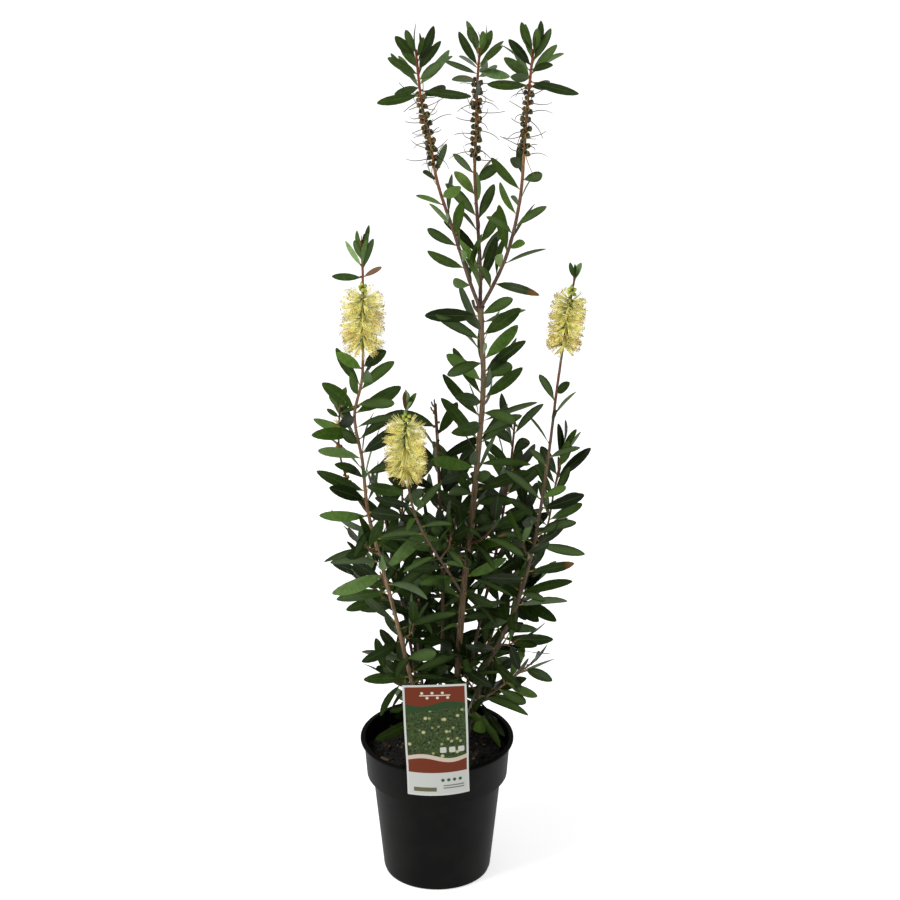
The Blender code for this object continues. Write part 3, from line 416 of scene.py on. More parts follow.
# A limb's points are in centimetres. One that grows from the trunk has its foot's height alone.
Limb = namedtuple("Limb", "points foot_radius tip_radius")
TRUNK = [(2.2, 0.4, SOIL), (2.7, 0.5, 29), (3.35, 0.6, 39.5), (4.3, 0.9, 49), (5.2, 1.2, 59),
         (5.8, 1.3, 68), (5.6, 1.2, 75.5), (5.4, 1.2, TRUNK_TOP)]
TRUNK_RADII = (4.6 * MM, 3.0 * MM)
ROOT_FLARE, ROOT_FLARE_HEIGHT = 3.2 * MM, 14 * MM
FORK_SWELLING, FORK_SWELLING_HEIGHT = 2.7 * MM, 9 * MM
LIMBS = {
    "fork_left": Limb([
        FORK_FOOT, (4.2, 0.5, 82.3), (2.2, -1, 89.6), (0.1, -2.4, 97.1), (-0.7, -3, 102.3),
        (-1.7, -3.5, 107.4), (-2.4, -4.2, 114.6),
    ], 2.45 * MM, 1.5 * MM),
    "fork_middle": Limb([
        FORK_FOOT, (5.4, 2.4, 83.5), (5.05, 4, 89.2), (4.7, 5.2, 95), (4.85, 6, 100),
        (4.95, 6.8, 105.3), (5.3, 7.4, 110.6),
    ], 2.45 * MM, 1.5 * MM),
    "fork_right": Limb([
        FORK_FOOT, (6.7, 0.8, 81.4), (8.65, 0, 86.5), (10.15, -1, 94), (10.65, -1.6, 101.3),
        (10.9, -2, 106), (11.6, -2.4, 114),
    ], 2.45 * MM, 1.5 * MM),
    "left_stem": Limb([
        (-1.0, -0.6, SOIL), (-3.2, -1, 27.5), (-4.9, -1.8, 36), (-7.1, -2.8, 46.1), (-8.6, -3.5, 53.3),
        (-9.2, -4, 60.4), (-10.1, -4.5, 66.8), (-9.15, -4.2, 71.5), (-9.0, -4.1, 78), (-8.95, -4, 86),
        (-9.1, -4, 90),
    ], 3.0 * MM, 1.4 * MM),
    "right_stem": Limb([
        (3.6, -0.2, SOIL), (4.7, -0.4, 23), (6.3, -0.8, 29.3), (8.2, -1.2, 34), (9.8, -1.5, 37.9),
        (12, -2.3, 46.8), (13.15, -2.9, 54.4), (14, -3.4, 61.7), (14.8, -3.8, 69.8), (15.4, -4, 75),
        (16, -4, 80), (16.9, -4, 85.4),
    ], 3.0 * MM, 1.3 * MM),
    "seed_stem": Limb([
        (-0.2, 2.0, SOIL), (0.5, 2.5, 27), (0.75, 3, 37.5), (0.45, 3.5, 49), (0.1, 4, 59),
        (-0.2, 4, 64.5),
    ], 2.5 * MM, 2.0 * MM),
    "inner_left_stem": Limb([
        (-1.6, 1.6, SOIL), (-2.1, 2.5, 28), (-3.2, 4.2, 35.5), (-3.9, 4.6, 40), (-4.3, 4.8, 47),
        (-4.4, 5, 53),
    ], 2.2 * MM, 1.3 * MM),
    "right_middle_stem": Limb([
        (2.9, 2.2, SOIL), (4.1, 2.5, 26.5), (5.5, 3.4, 33.9), (7.5, 5.5, 42.6), (8.8, 7, 50.3),
        (9.4, 7.8, 54.4), (9.9, 8.6, 60),
    ], 2.4 * MM, 1.4 * MM),
    "back_left_stem": Limb([
        (-1.8, 3.6, SOIL), (-3.2, 5.4, 28), (-5.4, 8.6, 39), (-7.4, 11, 49),
    ], 2.3 * MM, 1.3 * MM),
    "back_middle_stem": Limb([
        (1.2, 4.0, SOIL), (1.4, 6.4, 29), (2.2, 10, 41), (2.4, 12, 52),
    ], 2.4 * MM, 1.3 * MM),
    "back_right_stem": Limb([
        (3.9, 3.7, SOIL), (6.4, 6.2, 28), (9.4, 9, 38), (11.6, 10.8, 47),
    ], 2.3 * MM, 1.3 * MM),
    "front_branch": Limb([
        39.3, (1.0, -2.2, 44.8), (-0.6, -4, 48.4), (-2.55, -5.8, 53.5), (-3.5, -7, 58.5),
        (-3.8, -7.6, 64), (-3.6, -8, 69.8),
    ], 1.9 * MM, 1.3 * MM),
    "low_right_branch": Limb([
        22.6, (5.5, -1.9, 25.4), (7.6, -2.6, 27.3), (10, -3.1, 29.6), (12, -3.5, 31.6),
    ], 1.8 * MM, 1.2 * MM),
}
ON_TRUNK = ("front_branch", "low_right_branch")
BURIED = 4 * MM
GIRTH_CHANGE, GIRTH_WAVE = 0.05, 9 * MM
GROOVE_WIDTH, GROOVE_LENGTH = 1.5 * MM, 17 * MM
Twig = namedtuple("Twig", "stem height points")
TWIGS = [
    Twig("trunk", 45.6, [(2.6, -1.4, 47.4), (1.4, -2.2, 49.2)]),
    Twig("trunk", 46.4, [(5.9, -1.5, 48.4), (7.4, -2.4, 51)]),
    Twig("left_stem", 52.8, [(-10.5, -3.4, 56.0), (-12, -3.4, 61), (-11.9, -3.6, 68.7)]),
    Twig("right_stem", 46.8, [(13.6, -1.4, 49), (14.8, 1, 54), (15.8, 2, 59.4)]),
    Twig("back_left_stem", 33.8, [(-8, 7, 37), (-9.6, 7.2, 42)]),
    Twig("back_middle_stem", 36.5, [(4.2, 12, 38.5), (5.2, 13, 43)]),
    Twig("back_middle_stem", 29.8, [(-1.5, 9.8, 32.4), (-2.4, 11.4, 37)]),
    Twig("back_right_stem", 33.0, [(11, 7, 35.4), (12.6, 6.8, 40)]),
]
TWIG_RADII = (1.5 * MM, 1.0 * MM)
# Shoots, which are finer twigs, stand in a wide spiral up the stems and fill the low crown.
SHOOT_LOW, SHOOT_HIGH = 23.5, 50.0
SHOOT_SPACING = 84 * MM
SHOOT_SEED = 40
SHOOT_LENGTHS = (32 * MM, 48 * MM)
# How far out from its stem and on along it a shoot's middle and tip are, as shares of its length.
SHOOT_MIDDLE, SHOOT_TIP = (0.42, 0.3), (0.68, 0.75)
GOLDEN_ANGLE = math.radians(137.5)
# Bark colours by stem, at even steps from its foot to its tip. The fork's limbs are orange under
# their seed cups. The left stem's light tan middle is partly its pale old bark and partly a painted
# highlight of the lamp on its left side.
BARK_TONES = {
    "trunk": ("#664f34", "#6f5a40", "#74604a"),
    "fork": ("#5a463a", "#5f483a", "#64483a", "#74492f", "#a97233", "#84401f", "#6a2e1a"),
    "left_stem": ("#5c4630", "#8f7354", "#8a6a4c", "#78583e", "#744028"),
    "right_stem": ("#4c4030", "#4c3826", "#6a3826"),
    "stem": ("#574838", "#5e4838", "#66402c"),
    "twig": ("#5c4634", "#66432e", "#6c3e28"),
}


class Path:
    """Dots along a limb, each with the length of path up to it."""

    def __init__(self, dots):
        self.dots = dots
        self.run = [0.0]
        for start, end in zip(dots, dots[1:]):
            self.run.append(self.run[-1] + (end - start).length)
        self.length = self.run[-1]

    def at(self, run):
        """The point and the direction at a length along the path."""
        run = min(max(run, 0), self.length)
        index = max(1, int(np.searchsorted(self.run, run)))
        start, end = self.dots[index - 1], self.dots[index]
        share = (run - self.run[index - 1]) / (self.run[index] - self.run[index - 1])
        return start.lerp(end, share), (end - start).normalized()

    def at_height(self, height):
        """The length along the path where it first reaches a height in centimetres."""
        for i, dot in enumerate(self.dots):
            if i and dot.z >= height * CM:
                before = self.dots[i - 1]
                share = (height * CM - before.z) / (dot.z - before.z)
                return mix((self.run[i - 1], self.run[i]), max(0, share))
        return self.length


def mix(pair, share):
    return pair[0] + (pair[1] - pair[0]) * share


def smooth_path(points, upright_foot=False, upright_tip=False, step=4 * MM):
    """A centripetal Catmull-Rom curve through points in centimetres."""
    knots = [Vector(point) * CM for point in points]
    if upright_foot:
        knots.insert(1, knots[0] + Vector((0, 0, step)))
    if upright_tip:
        knots.insert(-1, knots[-1] - Vector((0, 0, step)))
    ends = [2 * knots[0] - knots[1], *knots, 2 * knots[-1] - knots[-2]]
    dots = [knots[0]]
    for before, start, end, after in zip(ends, ends[1:], ends[2:], ends[3:]):
        t1 = math.sqrt((start - before).length)
        t2 = t1 + math.sqrt((end - start).length)
        t3 = t2 + math.sqrt((after - end).length)
        count = max(1, round((end - start).length / step))
        for i in range(1, count + 1):
            t = mix((t1, t2), i / count)
            a1 = before.lerp(start, t / t1)
            a2 = start.lerp(end, i / count)
            a3 = end.lerp(after, (t - t2) / (t3 - t2))
            dots.append(a1.lerp(a2, t / t2).lerp(a2.lerp(a3, (t - t1) / (t3 - t1)), i / count))
    return Path(dots)


def trunk_radius(run):
    """An even taper, with a flare at the root and a swelling under the fork."""
    flare = ROOT_FLARE * math.exp(-run / ROOT_FLARE_HEIGHT)
    swelling = FORK_SWELLING * math.exp((run - trunk_path.length) / FORK_SWELLING_HEIGHT)
    return mix(TRUNK_RADII, run / trunk_path.length) + flare + swelling


def limb_radius(name):
    """The function that gives a limb's radius at a length along it."""
    if name == "trunk":
        return trunk_radius
    limb, path = LIMBS[name], paths[name]
    return lambda run: mix((limb.foot_radius, limb.tip_radius), min(1, run / path.length))


def add_bark(bm, path, radius_at, tones, start, spacing, sides, groove):
    """Adds a limb's bark to the mesh, from a length of path on, with grooves that run along it."""
    curve = bpy.data.curves.new("limb", "CURVE")
    curve.dimensions = "3D"
    curve.bevel_depth = 1
    curve.bevel_resolution = (sides - 4) // 2
    curve.use_fill_caps = True
    spline = curve.splines.new("POLY")
    count = round((path.length - start) / spacing)
    spline.points.add(count)
    for i, dot in enumerate(spline.points):
        run = mix((start, path.length), i / count)
        before, after = path.at(run - spacing)[0], path.at(run + spacing)[0]
        dot.co = (*(path.at(run)[0] * 0.5 + before * 0.25 + after * 0.25), 1)
        unevenness = GIRTH_CHANGE * noise.noise(Vector((run / GIRTH_WAVE, 0, 0)))
        dot.radius = radius_at(max(0, run)) * (1 + unevenness)
    spline.points[0].co = (*path.at(start)[0], 1)
    holder = bpy.data.objects.new("limb", curve)
    bpy.context.scene.collection.objects.link(holder)
    dg = bpy.context.evaluated_depsgraph_get()
    mesh = bpy.data.meshes.new_from_object(holder.evaluated_get(dg), depsgraph=dg)
    known = len(bm.verts)
    bm.from_mesh(mesh)
    bpy.data.objects.remove(holder, do_unlink=True)
    bpy.data.meshes.remove(mesh)
    bm.verts.ensure_lookup_table()
    added = bm.verts[known:]
    low, high = path.dots[0].z, path.dots[-1].z
    tone_layer = bm.verts.layers.float_color["bark_tone"]
    colours = [Vector(linear(code)) for code in tones]
    for vertex in added:
        step = min(1, max(0, (vertex.co.z - low) / (high - low))) * (len(colours) - 1)
        below = min(int(step), len(colours) - 2)
        vertex[tone_layer] = colours[below].lerp(colours[below + 1], step - below)
        x, y, z = vertex.co
        stretched = Vector((x / GROOVE_WIDTH, y / GROOVE_WIDTH, z / GROOVE_LENGTH))
        vertex.co += vertex.normal * groove * noise.fractal(stretched, 0.6, 2.0, 3)


def bark_mesh():
    bm = bmesh.new()
    bm.verts.layers.float_color.new("bark_tone")
    return bm


def outward(direction, azimuth):
    """The direction at right angles to a stem, at an angle round it from +X."""
    side = Vector((1, 0, 0)) - direction * direction.x
    return Matrix.Rotation(azimuth, 3, direction) @ side.normalized()


trunk_path = smooth_path(TRUNK, upright_foot=True, upright_tip=True)
paths = {"trunk": trunk_path}
for name, limb in LIMBS.items():
    foot, *points = limb.points
    if name in ON_TRUNK:
        foot = trunk_path.at(trunk_path.at_height(foot))[0] / CM
    paths[name] = smooth_path([foot, *points], upright_foot=foot[2] == SOIL)
twig_paths = []
for twig in TWIGS:
    parent = paths[twig.stem]
    twig_paths.append(smooth_path([parent.at(parent.at_height(twig.height))[0] / CM, *twig.points]))
shoot_paths = []
for i, path in enumerate(paths.values()):
    rng = random.Random(SHOOT_SEED + i)
    run = path.at_height(SHOOT_LOW) + rng.uniform(0, SHOOT_SPACING)
    azimuth = rng.uniform(0, math.tau)
    while run < min(path.at_height(SHOOT_HIGH), path.length - SHOOT_SPACING):
        point, direction = path.at(run)
        out = outward(direction, azimuth)
        length = rng.uniform(*SHOOT_LENGTHS)
        dots = [point + (out * away + direction * on) * length for away, on in (SHOOT_MIDDLE, SHOOT_TIP)]
        shoot_paths.append(smooth_path([dot / CM for dot in (point, *dots)]))
        run += SHOOT_SPACING * rng.uniform(0.8, 1.2)
        azimuth += GOLDEN_ANGLE

# Fibrous bark: dull, pale tan to red-brown, with long dark streaks in its grooves about 1.5 mm
# apart, and greyer flecks where the outer layer peels.
material, tree, shader = new_material("fibrous bark", "#9b7d61", 0.82)
tone = add_node(tree, "ShaderNodeAttribute", {}, attribute_name="bark_tone").outputs["Color"]
place = add_node(tree, "ShaderNodeTexCoord", {}).outputs["Object"]
along = add_node(tree, "ShaderNodeMapping", {"Vector": place, "Scale": (1, 1, 0.075)}).outputs[0]
streaks = add_node(tree, "ShaderNodeTexNoise", {"Vector": along, "Scale": 950, "Detail": 4,
                                                "Roughness": 0.62}).outputs["Fac"]
dark = add_node(tree, "ShaderNodeMapRange", {"Value": streaks, "From Min": 0.36, "From Max": 0.62,
                                             "To Min": 0.42, "To Max": 1.22})
tint = add_node(tree, "ShaderNodeVectorMath", {0: tone, "Scale": dark.outputs[0]}, operation="SCALE")
flecks = add_node(tree, "ShaderNodeTexNoise", {"Vector": along, "Scale": 330, "Detail": 3}).outputs["Fac"]
grey = add_node(tree, "ShaderNodeMapRange", {"Value": flecks, "From Min": 0.55, "From Max": 0.72,
                                             "To Max": 0.3})
tint = add_node(tree, "ShaderNodeMix", {0: grey.outputs[0], 6: tint.outputs[0], 7: linear("#94866f")},
                data_type="RGBA")
tree.links.new(tint.outputs[2], shader.inputs["Base Color"])
bump = add_node(tree, "ShaderNodeBump", {"Height": streaks, "Strength": 0.6, "Distance": 0.5 * MM})
tree.links.new(bump.outputs[0], shader.inputs["Normal"])
bark = material

bm = bark_mesh()
add_bark(bm, trunk_path, trunk_radius, BARK_TONES["trunk"], start=-BURIED, spacing=2.2 * MM,
         sides=28, groove=0.42 * MM)
# The knuckle under the fork carries the short stub of a branch that was cut off.
stub = smooth_path([(5.3, 1.15, 78.2), (4.75, 0.9, 78.9), (4.45, 0.75, 80.0)])
add_bark(bm, stub, lambda run: 1.9 * MM, ("#5e4433", "#4c3628"), start=0, spacing=1.2 * MM,
         sides=12, groove=0.3 * MM)
add_piece("trunk_bark", mesh_of(bm), bark, ["trunk"], sharp=60)

bm = bark_mesh()
for name in LIMBS:
    tones = BARK_TONES["fork" if name.startswith("fork") else name if name in BARK_TONES else "stem"]
    start = -BURIED if paths[name].dots[0].z < MIX_TOP * MM + BURIED else 0
    add_bark(bm, paths[name], limb_radius(name), tones, start, spacing=2.6 * MM, sides=14,
             groove=0.2 * MM)
# Bare stubs of twigs at the seed stem's tip.
for points in (((-0.15, 4, 63.3), (-0.6, 3.9, 63.6), (-0.75, 3.85, 64.1)),
               ((-0.2, 4, 63.9), (-0.55, 3.95, 64.3), (-0.65, 3.9, 64.8)),
               ((-0.2, 4, 64.4), (-0.3, 3.95, 64.8), (-0.3, 3.9, 65.1))):
    add_bark(bm, smooth_path(points), lambda run: MM, ("#4a3b30", "#3a2e26"), start=0,
             spacing=1.2 * MM, sides=8, groove=0.1 * MM)
add_piece("stem_bark", mesh_of(bm), bark, list(LIMBS), sharp=60)

bm = bark_mesh()
for path in twig_paths + shoot_paths:
    add_bark(bm, path, lambda run: mix(TWIG_RADII, min(1, run / path.length)), BARK_TONES["twig"],
             start=0, spacing=2.6 * MM, sides=10, groove=0.12 * MM)
add_piece("twig_bark", mesh_of(bm), bark, [], sharp=60)


# The leaves: leathery and oblong with a blunt end, 35 to 75 mm long, in a spiral up every stem,
# twig and shoot. Each has a faint midrib and a short yellowish stalk.
Cups = namedtuple("Cups", "low high count")
Brush = namedtuple("Brush", "low high width")
# Heights are in centimetres, lengths and widths in millimetres, and leans from the stem in degrees.
# The turn is the run's start angle round the stem in degrees, and also the seed of its chances.
Leaves = namedtuple("Leaves", "low high count lengths width leans spray turn")
GROWTH = {
    "trunk": [
        Leaves(26, 37.6, 5, (66, 60), 15.5, (84, 72), "low", 185),
        Leaves(39, 60, 29, (70, 66), 15.5, (70, 60), "high", 154),
        Leaves(60.5, 69.5, 16, (74, 70), 16.5, (60, 60), "high", 61),
        Leaves(70, 79, 15, (74, 70), 16.5, (60, 68), "high", 323),
    ],
    "fork_left": [
        Leaves(81.2, 98.3, 16, (64, 38), 13.5, (40, 44), "fork", 111),
        Cups(98.9, 108.6, 36),
        Leaves(108.5, 110, 6, (64, 54), 13, (94, 76), "tip", 65),
        Leaves(109.9, 114.5, 13, (60, 36), 12, (54, 18), "tip", 19),
    ],
    "fork_middle": [
        Leaves(81, 95.6, 17, (66, 44), 14, (36, 42), "fork", 226),
        Cups(96.6, 106.6, 36),
        Leaves(106.4, 107.9, 6, (62, 52), 12.5, (90, 74), "tip", 141),
        Leaves(107.7, 110.5, 11, (58, 36), 11.5, (50, 18), "tip", 269),
    ],
    "fork_right": [
        Leaves(81.2, 98.6, 17, (64, 44), 13, (46, 42), "fork", 185),
        Cups(100, 109.2, 34),
        Leaves(109.1, 110.6, 6, (62, 52), 13, (92, 74), "tip", 65),
        Leaves(110.4, 113.9, 12, (58, 36), 12, (52, 18), "tip", 229),
    ],
    "left_stem": [
        Leaves(20.8, 28, 7, (80, 72), 15, (100, 84), "low", 78),
        Leaves(21.5, 40, 14, (78, 72), 16, (86, 76), "low", 59),
        Leaves(40.5, 55, 18, (82, 74), 16.5, (80, 64), "left", 51),
        Leaves(55.5, 64, 15, (80, 70), 16.5, (68, 56), "left", 40),
        Leaves(64.5, 73.3, 15, (74, 46), 16, (58, 50), "high", 210),
        Brush(75.5, 83.2, 51),
        Leaves(85.1, 85.2, 1, (39, 39), 11, (84, 84), "top", 186),
        Leaves(85.2, 85.3, 1, (36, 36), 7.5, (70, 70), "blushed", 354),
        Leaves(86.2, 88.6, 9, (40, 31), 8.5, (36, 8), "top", 22),
    ],
    "right_stem": [
        Leaves(20.5, 23, 4, (76, 68), 15, (124, 112), "shade", 273),
        Leaves(21, 36, 15, (76, 70), 16, (92, 76), "shade", 148),
        Leaves(36.5, 54, 17, (74, 60), 15.5, (78, 60), "shade", 114),
        Leaves(55, 73.6, 11, (46, 36), 11, (46, 34), "high", 301),
        Brush(75.4, 82.8, 43),
        Leaves(84.4, 85.3, 5, (27, 23), 7, (20, 6), "top", 99),
    ],
    "seed_stem": [
        Leaves(21.5, 44, 15, (68, 60), 14.5, (78, 64), "low", 184),
        Leaves(44.5, 61, 17, (66, 54), 15, (66, 46), "low", 153),
        Cups(57.5, 63.8, 8),
    ],
    "inner_left_stem": [
        Leaves(21, 38, 13, (68, 60), 15, (78, 60), "low", 108),
        Leaves(38.5, 52.8, 13, (64, 54), 15, (66, 34), "low", 24),
    ],
    "right_middle_stem": [
        Leaves(21, 42, 17, (68, 60), 15, (78, 62), "shade", 247),
        Leaves(42.5, 59, 19, (64, 52), 15, (66, 42), "shade", 196),
        Cups(59.2, 59.8, 3),
    ],
    "back_left_stem": [
        Leaves(21, 48.9, 22, (62, 50), 15, (78, 24), "low", 252),
    ],
    "back_middle_stem": [
        Leaves(21, 51.9, 29, (70, 52), 15, (78, 24), "low", 79),
    ],
    "back_right_stem": [
        Leaves(21, 46.9, 28, (68, 52), 15, (78, 24), "shade", 63),
    ],
    "front_branch": [
        Leaves(43, 58.6, 20, (60, 50), 14, (64, 55), "low", 273),
        Brush(59.6, 67.6, 51),
        Leaves(68.6, 69.7, 7, (32, 24), 8.5, (30, 8), "top", 293),
    ],
    "low_right_branch": [
        Leaves(23.4, 31.5, 22, (66, 46), 14, (104, 34), "shade", 207),
    ],
}
# A twig's leaves fill it from its bare foot to its tip, at an even spacing.
TWIG_LEAVES = Leaves(None, None, None, (64, 46), 14.5, (66, 24), "low", None)
TWIG_BARE_FOOT = 11 * MM
TWIG_LEAF_SPACING = 7 * MM
# The twig that has flowered has small leaves near its tip alone.
FLOWERED_TWIG = 2
FLOWERED_TWIG_LEAVES = Leaves(None, None, None, (28, 20), 7.5, (60, 12), "top", None)
FLOWERED_TWIG_TIP = 24 * MM
FLOWERED_TWIG_SPACING = 4 * MM
TWIG_LEAF_FROM_AXIS = 0.8 * MM
# How far a leaf may be off the spiral and off its lean, and how far it is rolled, in degrees.
TURN_SPREAD, LEAN_SPREAD = 16, 18
LEAF_ROLL = (52, 96)
# The share of leaves with a brown dead tip, which curls down.
DEAD_TIPS = 0.006
DEAD_TIPS_FORK = 0.06
DEAD_TIP_CURL = 0.3
# The colours of each spray's leaves, with how many in a hundred have them. The shade spray is
# painted shade: darker greens for the leaves of the right-hand limbs, away from the key lamp.
SPRAY_COLOURS = {
    "low": [("#19250a", 38), ("#22320c", 36), ("#2d4211", 18), ("#3d5521", 8)],
    "shade": [("#151e07", 38), ("#1d2909", 36), ("#27380e", 18), ("#40571f", 8)],
    "left": [("#1a270a", 36), ("#2b4012", 30), ("#4d6b2b", 22), ("#5f7b40", 12)],
    "high": [("#1e2c0a", 38), ("#293c0d", 34), ("#365014", 20), ("#4d6c27", 8)],
    "fork": [("#26350e", 34), ("#354a12", 34), ("#4b6722", 22), ("#6d873f", 10)],
    "tip": [("#22300d", 38), ("#2f4113", 34), ("#435a22", 18), ("#587242", 10)],
    "top": [("#31471c", 40), ("#425a24", 34), ("#758f5a", 22), ("#7a5240", 4)],
    "blushed": [("#7d4a42", 100)],
}
LEAF_THICKNESS = 0.4 * MM
STALK_SHARE = 0.07
STALK_HALF_WIDTH, TIP_HALF_WIDTH = 0.65 * MM, 0.12 * MM
BLUNTNESS = 0.62
SMALLER = (1, 0.85, 0.7)
# A stalk starts at this share of the stem's radius, under its bark.
SUNK = 0.7
REACH_MARGIN = 0.025
bm = bmesh.new()
bmesh.ops.create_grid(bm, x_segments=9, y_segments=2, size=0.5)
lower = bmesh.ops.duplicate(bm, geom=bm.verts[:] + bm.edges[:] + bm.faces[:])["geom"]
bmesh.ops.reverse_faces(bm, faces=[item for item in lower if isinstance(item, bmesh.types.BMFace)])
under = {item for item in lower if isinstance(item, bmesh.types.BMVert)}
for vertex in bm.verts:
    on_rim = max(abs(vertex.co.x), abs(vertex.co.y)) > 0.499
    vertex.co.z = 0 if on_rim else -0.5 if vertex in under else 0.5
bmesh.ops.remove_doubles(bm, verts=bm.verts, dist=0.001)
leaves = Copies(bm)


def leaf_points(length, width, arch, fold, droop, twist):
    """The leaf's points along +X, with its upper face up, and each one's place on the blade."""
    along = 0.5 + 0.5 * np.sin(math.pi * leaves.shape[:, 0])
    across, side = leaves.shape[:, 1] * 2, leaves.shape[:, 2] * 2
    blade = np.clip((along - STALK_SHARE) / (1 - STALK_SHARE), 0, 1) ** 1.1
    half = width / 2 * (1 - (2 * blade - 1) ** 2) ** BLUNTNESS
    half = np.maximum(half, np.where(along < 0.5, STALK_HALF_WIDTH, TIP_HALF_WIDTH))
    y = across * half
    z = arch * np.sin(math.pi * along) - droop * along ** 2 + fold * np.abs(y)
    z = z + side * LEAF_THICKNESS / 2
    turn = twist * along
    points = np.stack([length * along, y * np.cos(turn) - z * np.sin(turn),
                       y * np.sin(turn) + z * np.cos(turn)], axis=1)
    return points, np.stack([along, across, side], axis=1)


def is_clear(points):
    """Whether a leaf keeps clear of the mix, the pot's wall and the card, and within reach."""
    if (points < reach_low).any() or (points > reach_high).any():
        return False
    x, y, z = points.T / MM
    in_pot = (z < MIX_TOP + 4) | (z < POT_HEIGHT + 2) & (np.hypot(x, y) > MIX_EDGE - 2)
    by_card = (abs(x - CARD_SHIFT) < CARD_WIDTH / 2 + 8) & (y < 6 - LIP_RADIUS)
    return not (in_pot | by_card & (z < CARD_FOOT + CARD_HEIGHT + 4)).any()


def grown(kind):
    """Each run of a kind on the limbs, with its limb's name and path."""
    for name, runs in GROWTH.items():
        for run in runs:
            if isinstance(run, kind):
                yield name, paths[name], run


def grow_leaf(path, here, from_axis, azimuth, share, run, rng):
    """Adds one leaf of a run at a length along a path, and notes where its stalk meets the stem.
    A leaf that would be in the way is made shorter, or else left out."""
    point, direction = path.at(here)
    out = outward(direction, azimuth + math.radians(rng.uniform(-TURN_SPREAD, TURN_SPREAD)))
    lean = math.radians(mix(run.leans, share) + rng.uniform(-LEAN_SPREAD, LEAN_SPREAD))
    along = direction * math.cos(lean) + out * math.sin(lean)
    roll = math.radians(rng.uniform(*LEAF_ROLL)) * rng.choice((-1, 1))
    upper = Matrix.Rotation(roll, 3, along) @ (direction - along * direction.dot(along)).normalized()
    length = mix(run.lengths, share) * rng.uniform(0.8, 1.1) * MM
    width = run.width * rng.uniform(0.84, 1.1) * MM
    arch, fold = length * rng.uniform(0.0, 0.07), rng.uniform(0.03, 0.22)
    droop, twist = length * max(0, rng.gauss(0.0, 0.06)), rng.gauss(0, 0.2)
    codes, shares = zip(*SPRAY_COLOURS[run.spray])
    colour = np.array(linear(rng.choices(codes, shares)[0])) * rng.uniform(0.82, 1.2)
    colour[3] = 0
    if rng.random() < (DEAD_TIPS_FORK if run.spray == "fork" else DEAD_TIPS):
        colour[3] = 1
        droop += DEAD_TIP_CURL * length
    turn = Matrix((along, upper.cross(along), upper)).transposed().to_4x4()
    root = point + out * from_axis
    for size in SMALLER:
        points, blade = leaf_points(length * size, width, arch, fold, droop, twist)
        points = placed(points, Matrix.Translation(root) @ turn)
        if is_clear(points):
            leaves.add(points, leaf_colour=colour, blade_place=blade)
            leaf_roots.append((root, along))
            break


def grow_run(path, ends, count, from_axis, run, rng):
    """Adds a run of leaves in a spiral between two lengths along a path."""
    azimuth = rng.uniform(0, math.tau) if run.turn is None else math.radians(run.turn)
    for i in range(count):
        share = i / max(1, count - 1)
        here = mix(ends, share + rng.uniform(-0.45, 0.45) / count)
        grow_leaf(path, here, from_axis, azimuth, share, run, rng)
        azimuth += GOLDEN_ANGLE


margin = (cad_high - cad_low) * REACH_MARGIN
reach_low, reach_high = np.array(cad_low - margin), np.array(cad_high + margin)
leaf_roots = []
for name, path, run in grown(Leaves):
    ends = path.at_height(run.low), min(path.at_height(run.high), path.length - 2 * MM)
    from_axis = SUNK * limb_radius(name)(ends[0])
    grow_run(path, ends, run.count, from_axis, run, random.Random(run.turn))
for i, path in enumerate(twig_paths + shoot_paths):
    run, start, spacing = TWIG_LEAVES, TWIG_BARE_FOOT, TWIG_LEAF_SPACING
    if i == FLOWERED_TWIG:
        run, start = FLOWERED_TWIG_LEAVES, path.length - FLOWERED_TWIG_TIP
        spacing = FLOWERED_TWIG_SPACING
    count = round((path.length - start) / spacing) + 1
    grow_run(path, (start, path.length - MM), count, TWIG_LEAF_FROM_AXIS, run,
             random.Random(SHOOT_SEED + i))

# Leathery leaf: a satin upper side in the spray's green, a paler dull underside, a thin light
# midrib, fine side veins, a yellowish stalk, and on a few a brown dead tip.
VEIN_TURN = 150.0
material, tree, shader = new_material("leathery leaf", "#1e3015", 0.46)
shader.inputs["Specular IOR Level"].default_value = 0.12
colour = add_node(tree, "ShaderNodeAttribute", {}, attribute_name="leaf_colour")
blade = add_node(tree, "ShaderNodeAttribute", {}, attribute_name="blade_place").outputs["Vector"]
along, across, side = add_node(tree, "ShaderNodeSeparateXYZ", {"Vector": blade}).outputs
across = add_node(tree, "ShaderNodeMath", {0: across}, operation="ABSOLUTE").outputs[0]
place = add_node(tree, "ShaderNodeTexCoord", {}).outputs["Object"]
mottle = add_node(tree, "ShaderNodeTexNoise", {"Vector": place, "Scale": 190, "Detail": 4}).outputs["Fac"]
shade = add_node(tree, "ShaderNodeMapRange", {"Value": mottle, "From Min": 0.3, "From Max": 0.7,
                                              "To Min": 0.78, "To Max": 1.25}).outputs[0]
vein = add_node(tree, "ShaderNodeMath", {0: across, 1: -0.09, 2: along}, operation="MULTIPLY_ADD")
vein = add_node(tree, "ShaderNodeMath", {0: vein.outputs[0], 1: VEIN_TURN}, operation="MULTIPLY")
vein = add_node(tree, "ShaderNodeMath", {0: vein.outputs[0]}, operation="SINE").outputs[0]
shade = add_node(tree, "ShaderNodeMath", {0: vein, 1: 0.035, 2: shade}, operation="MULTIPLY_ADD")
green = add_node(tree, "ShaderNodeVectorMath", {0: colour.outputs["Color"], "Scale": shade.outputs[0]},
                 operation="SCALE").outputs[0]
dead = add_node(tree, "ShaderNodeMapRange", {"Value": along, "From Min": 0.76, "From Max": 0.88})
dead = add_node(tree, "ShaderNodeMath", {0: dead.outputs[0], 1: colour.outputs["Alpha"]},
                operation="MULTIPLY")
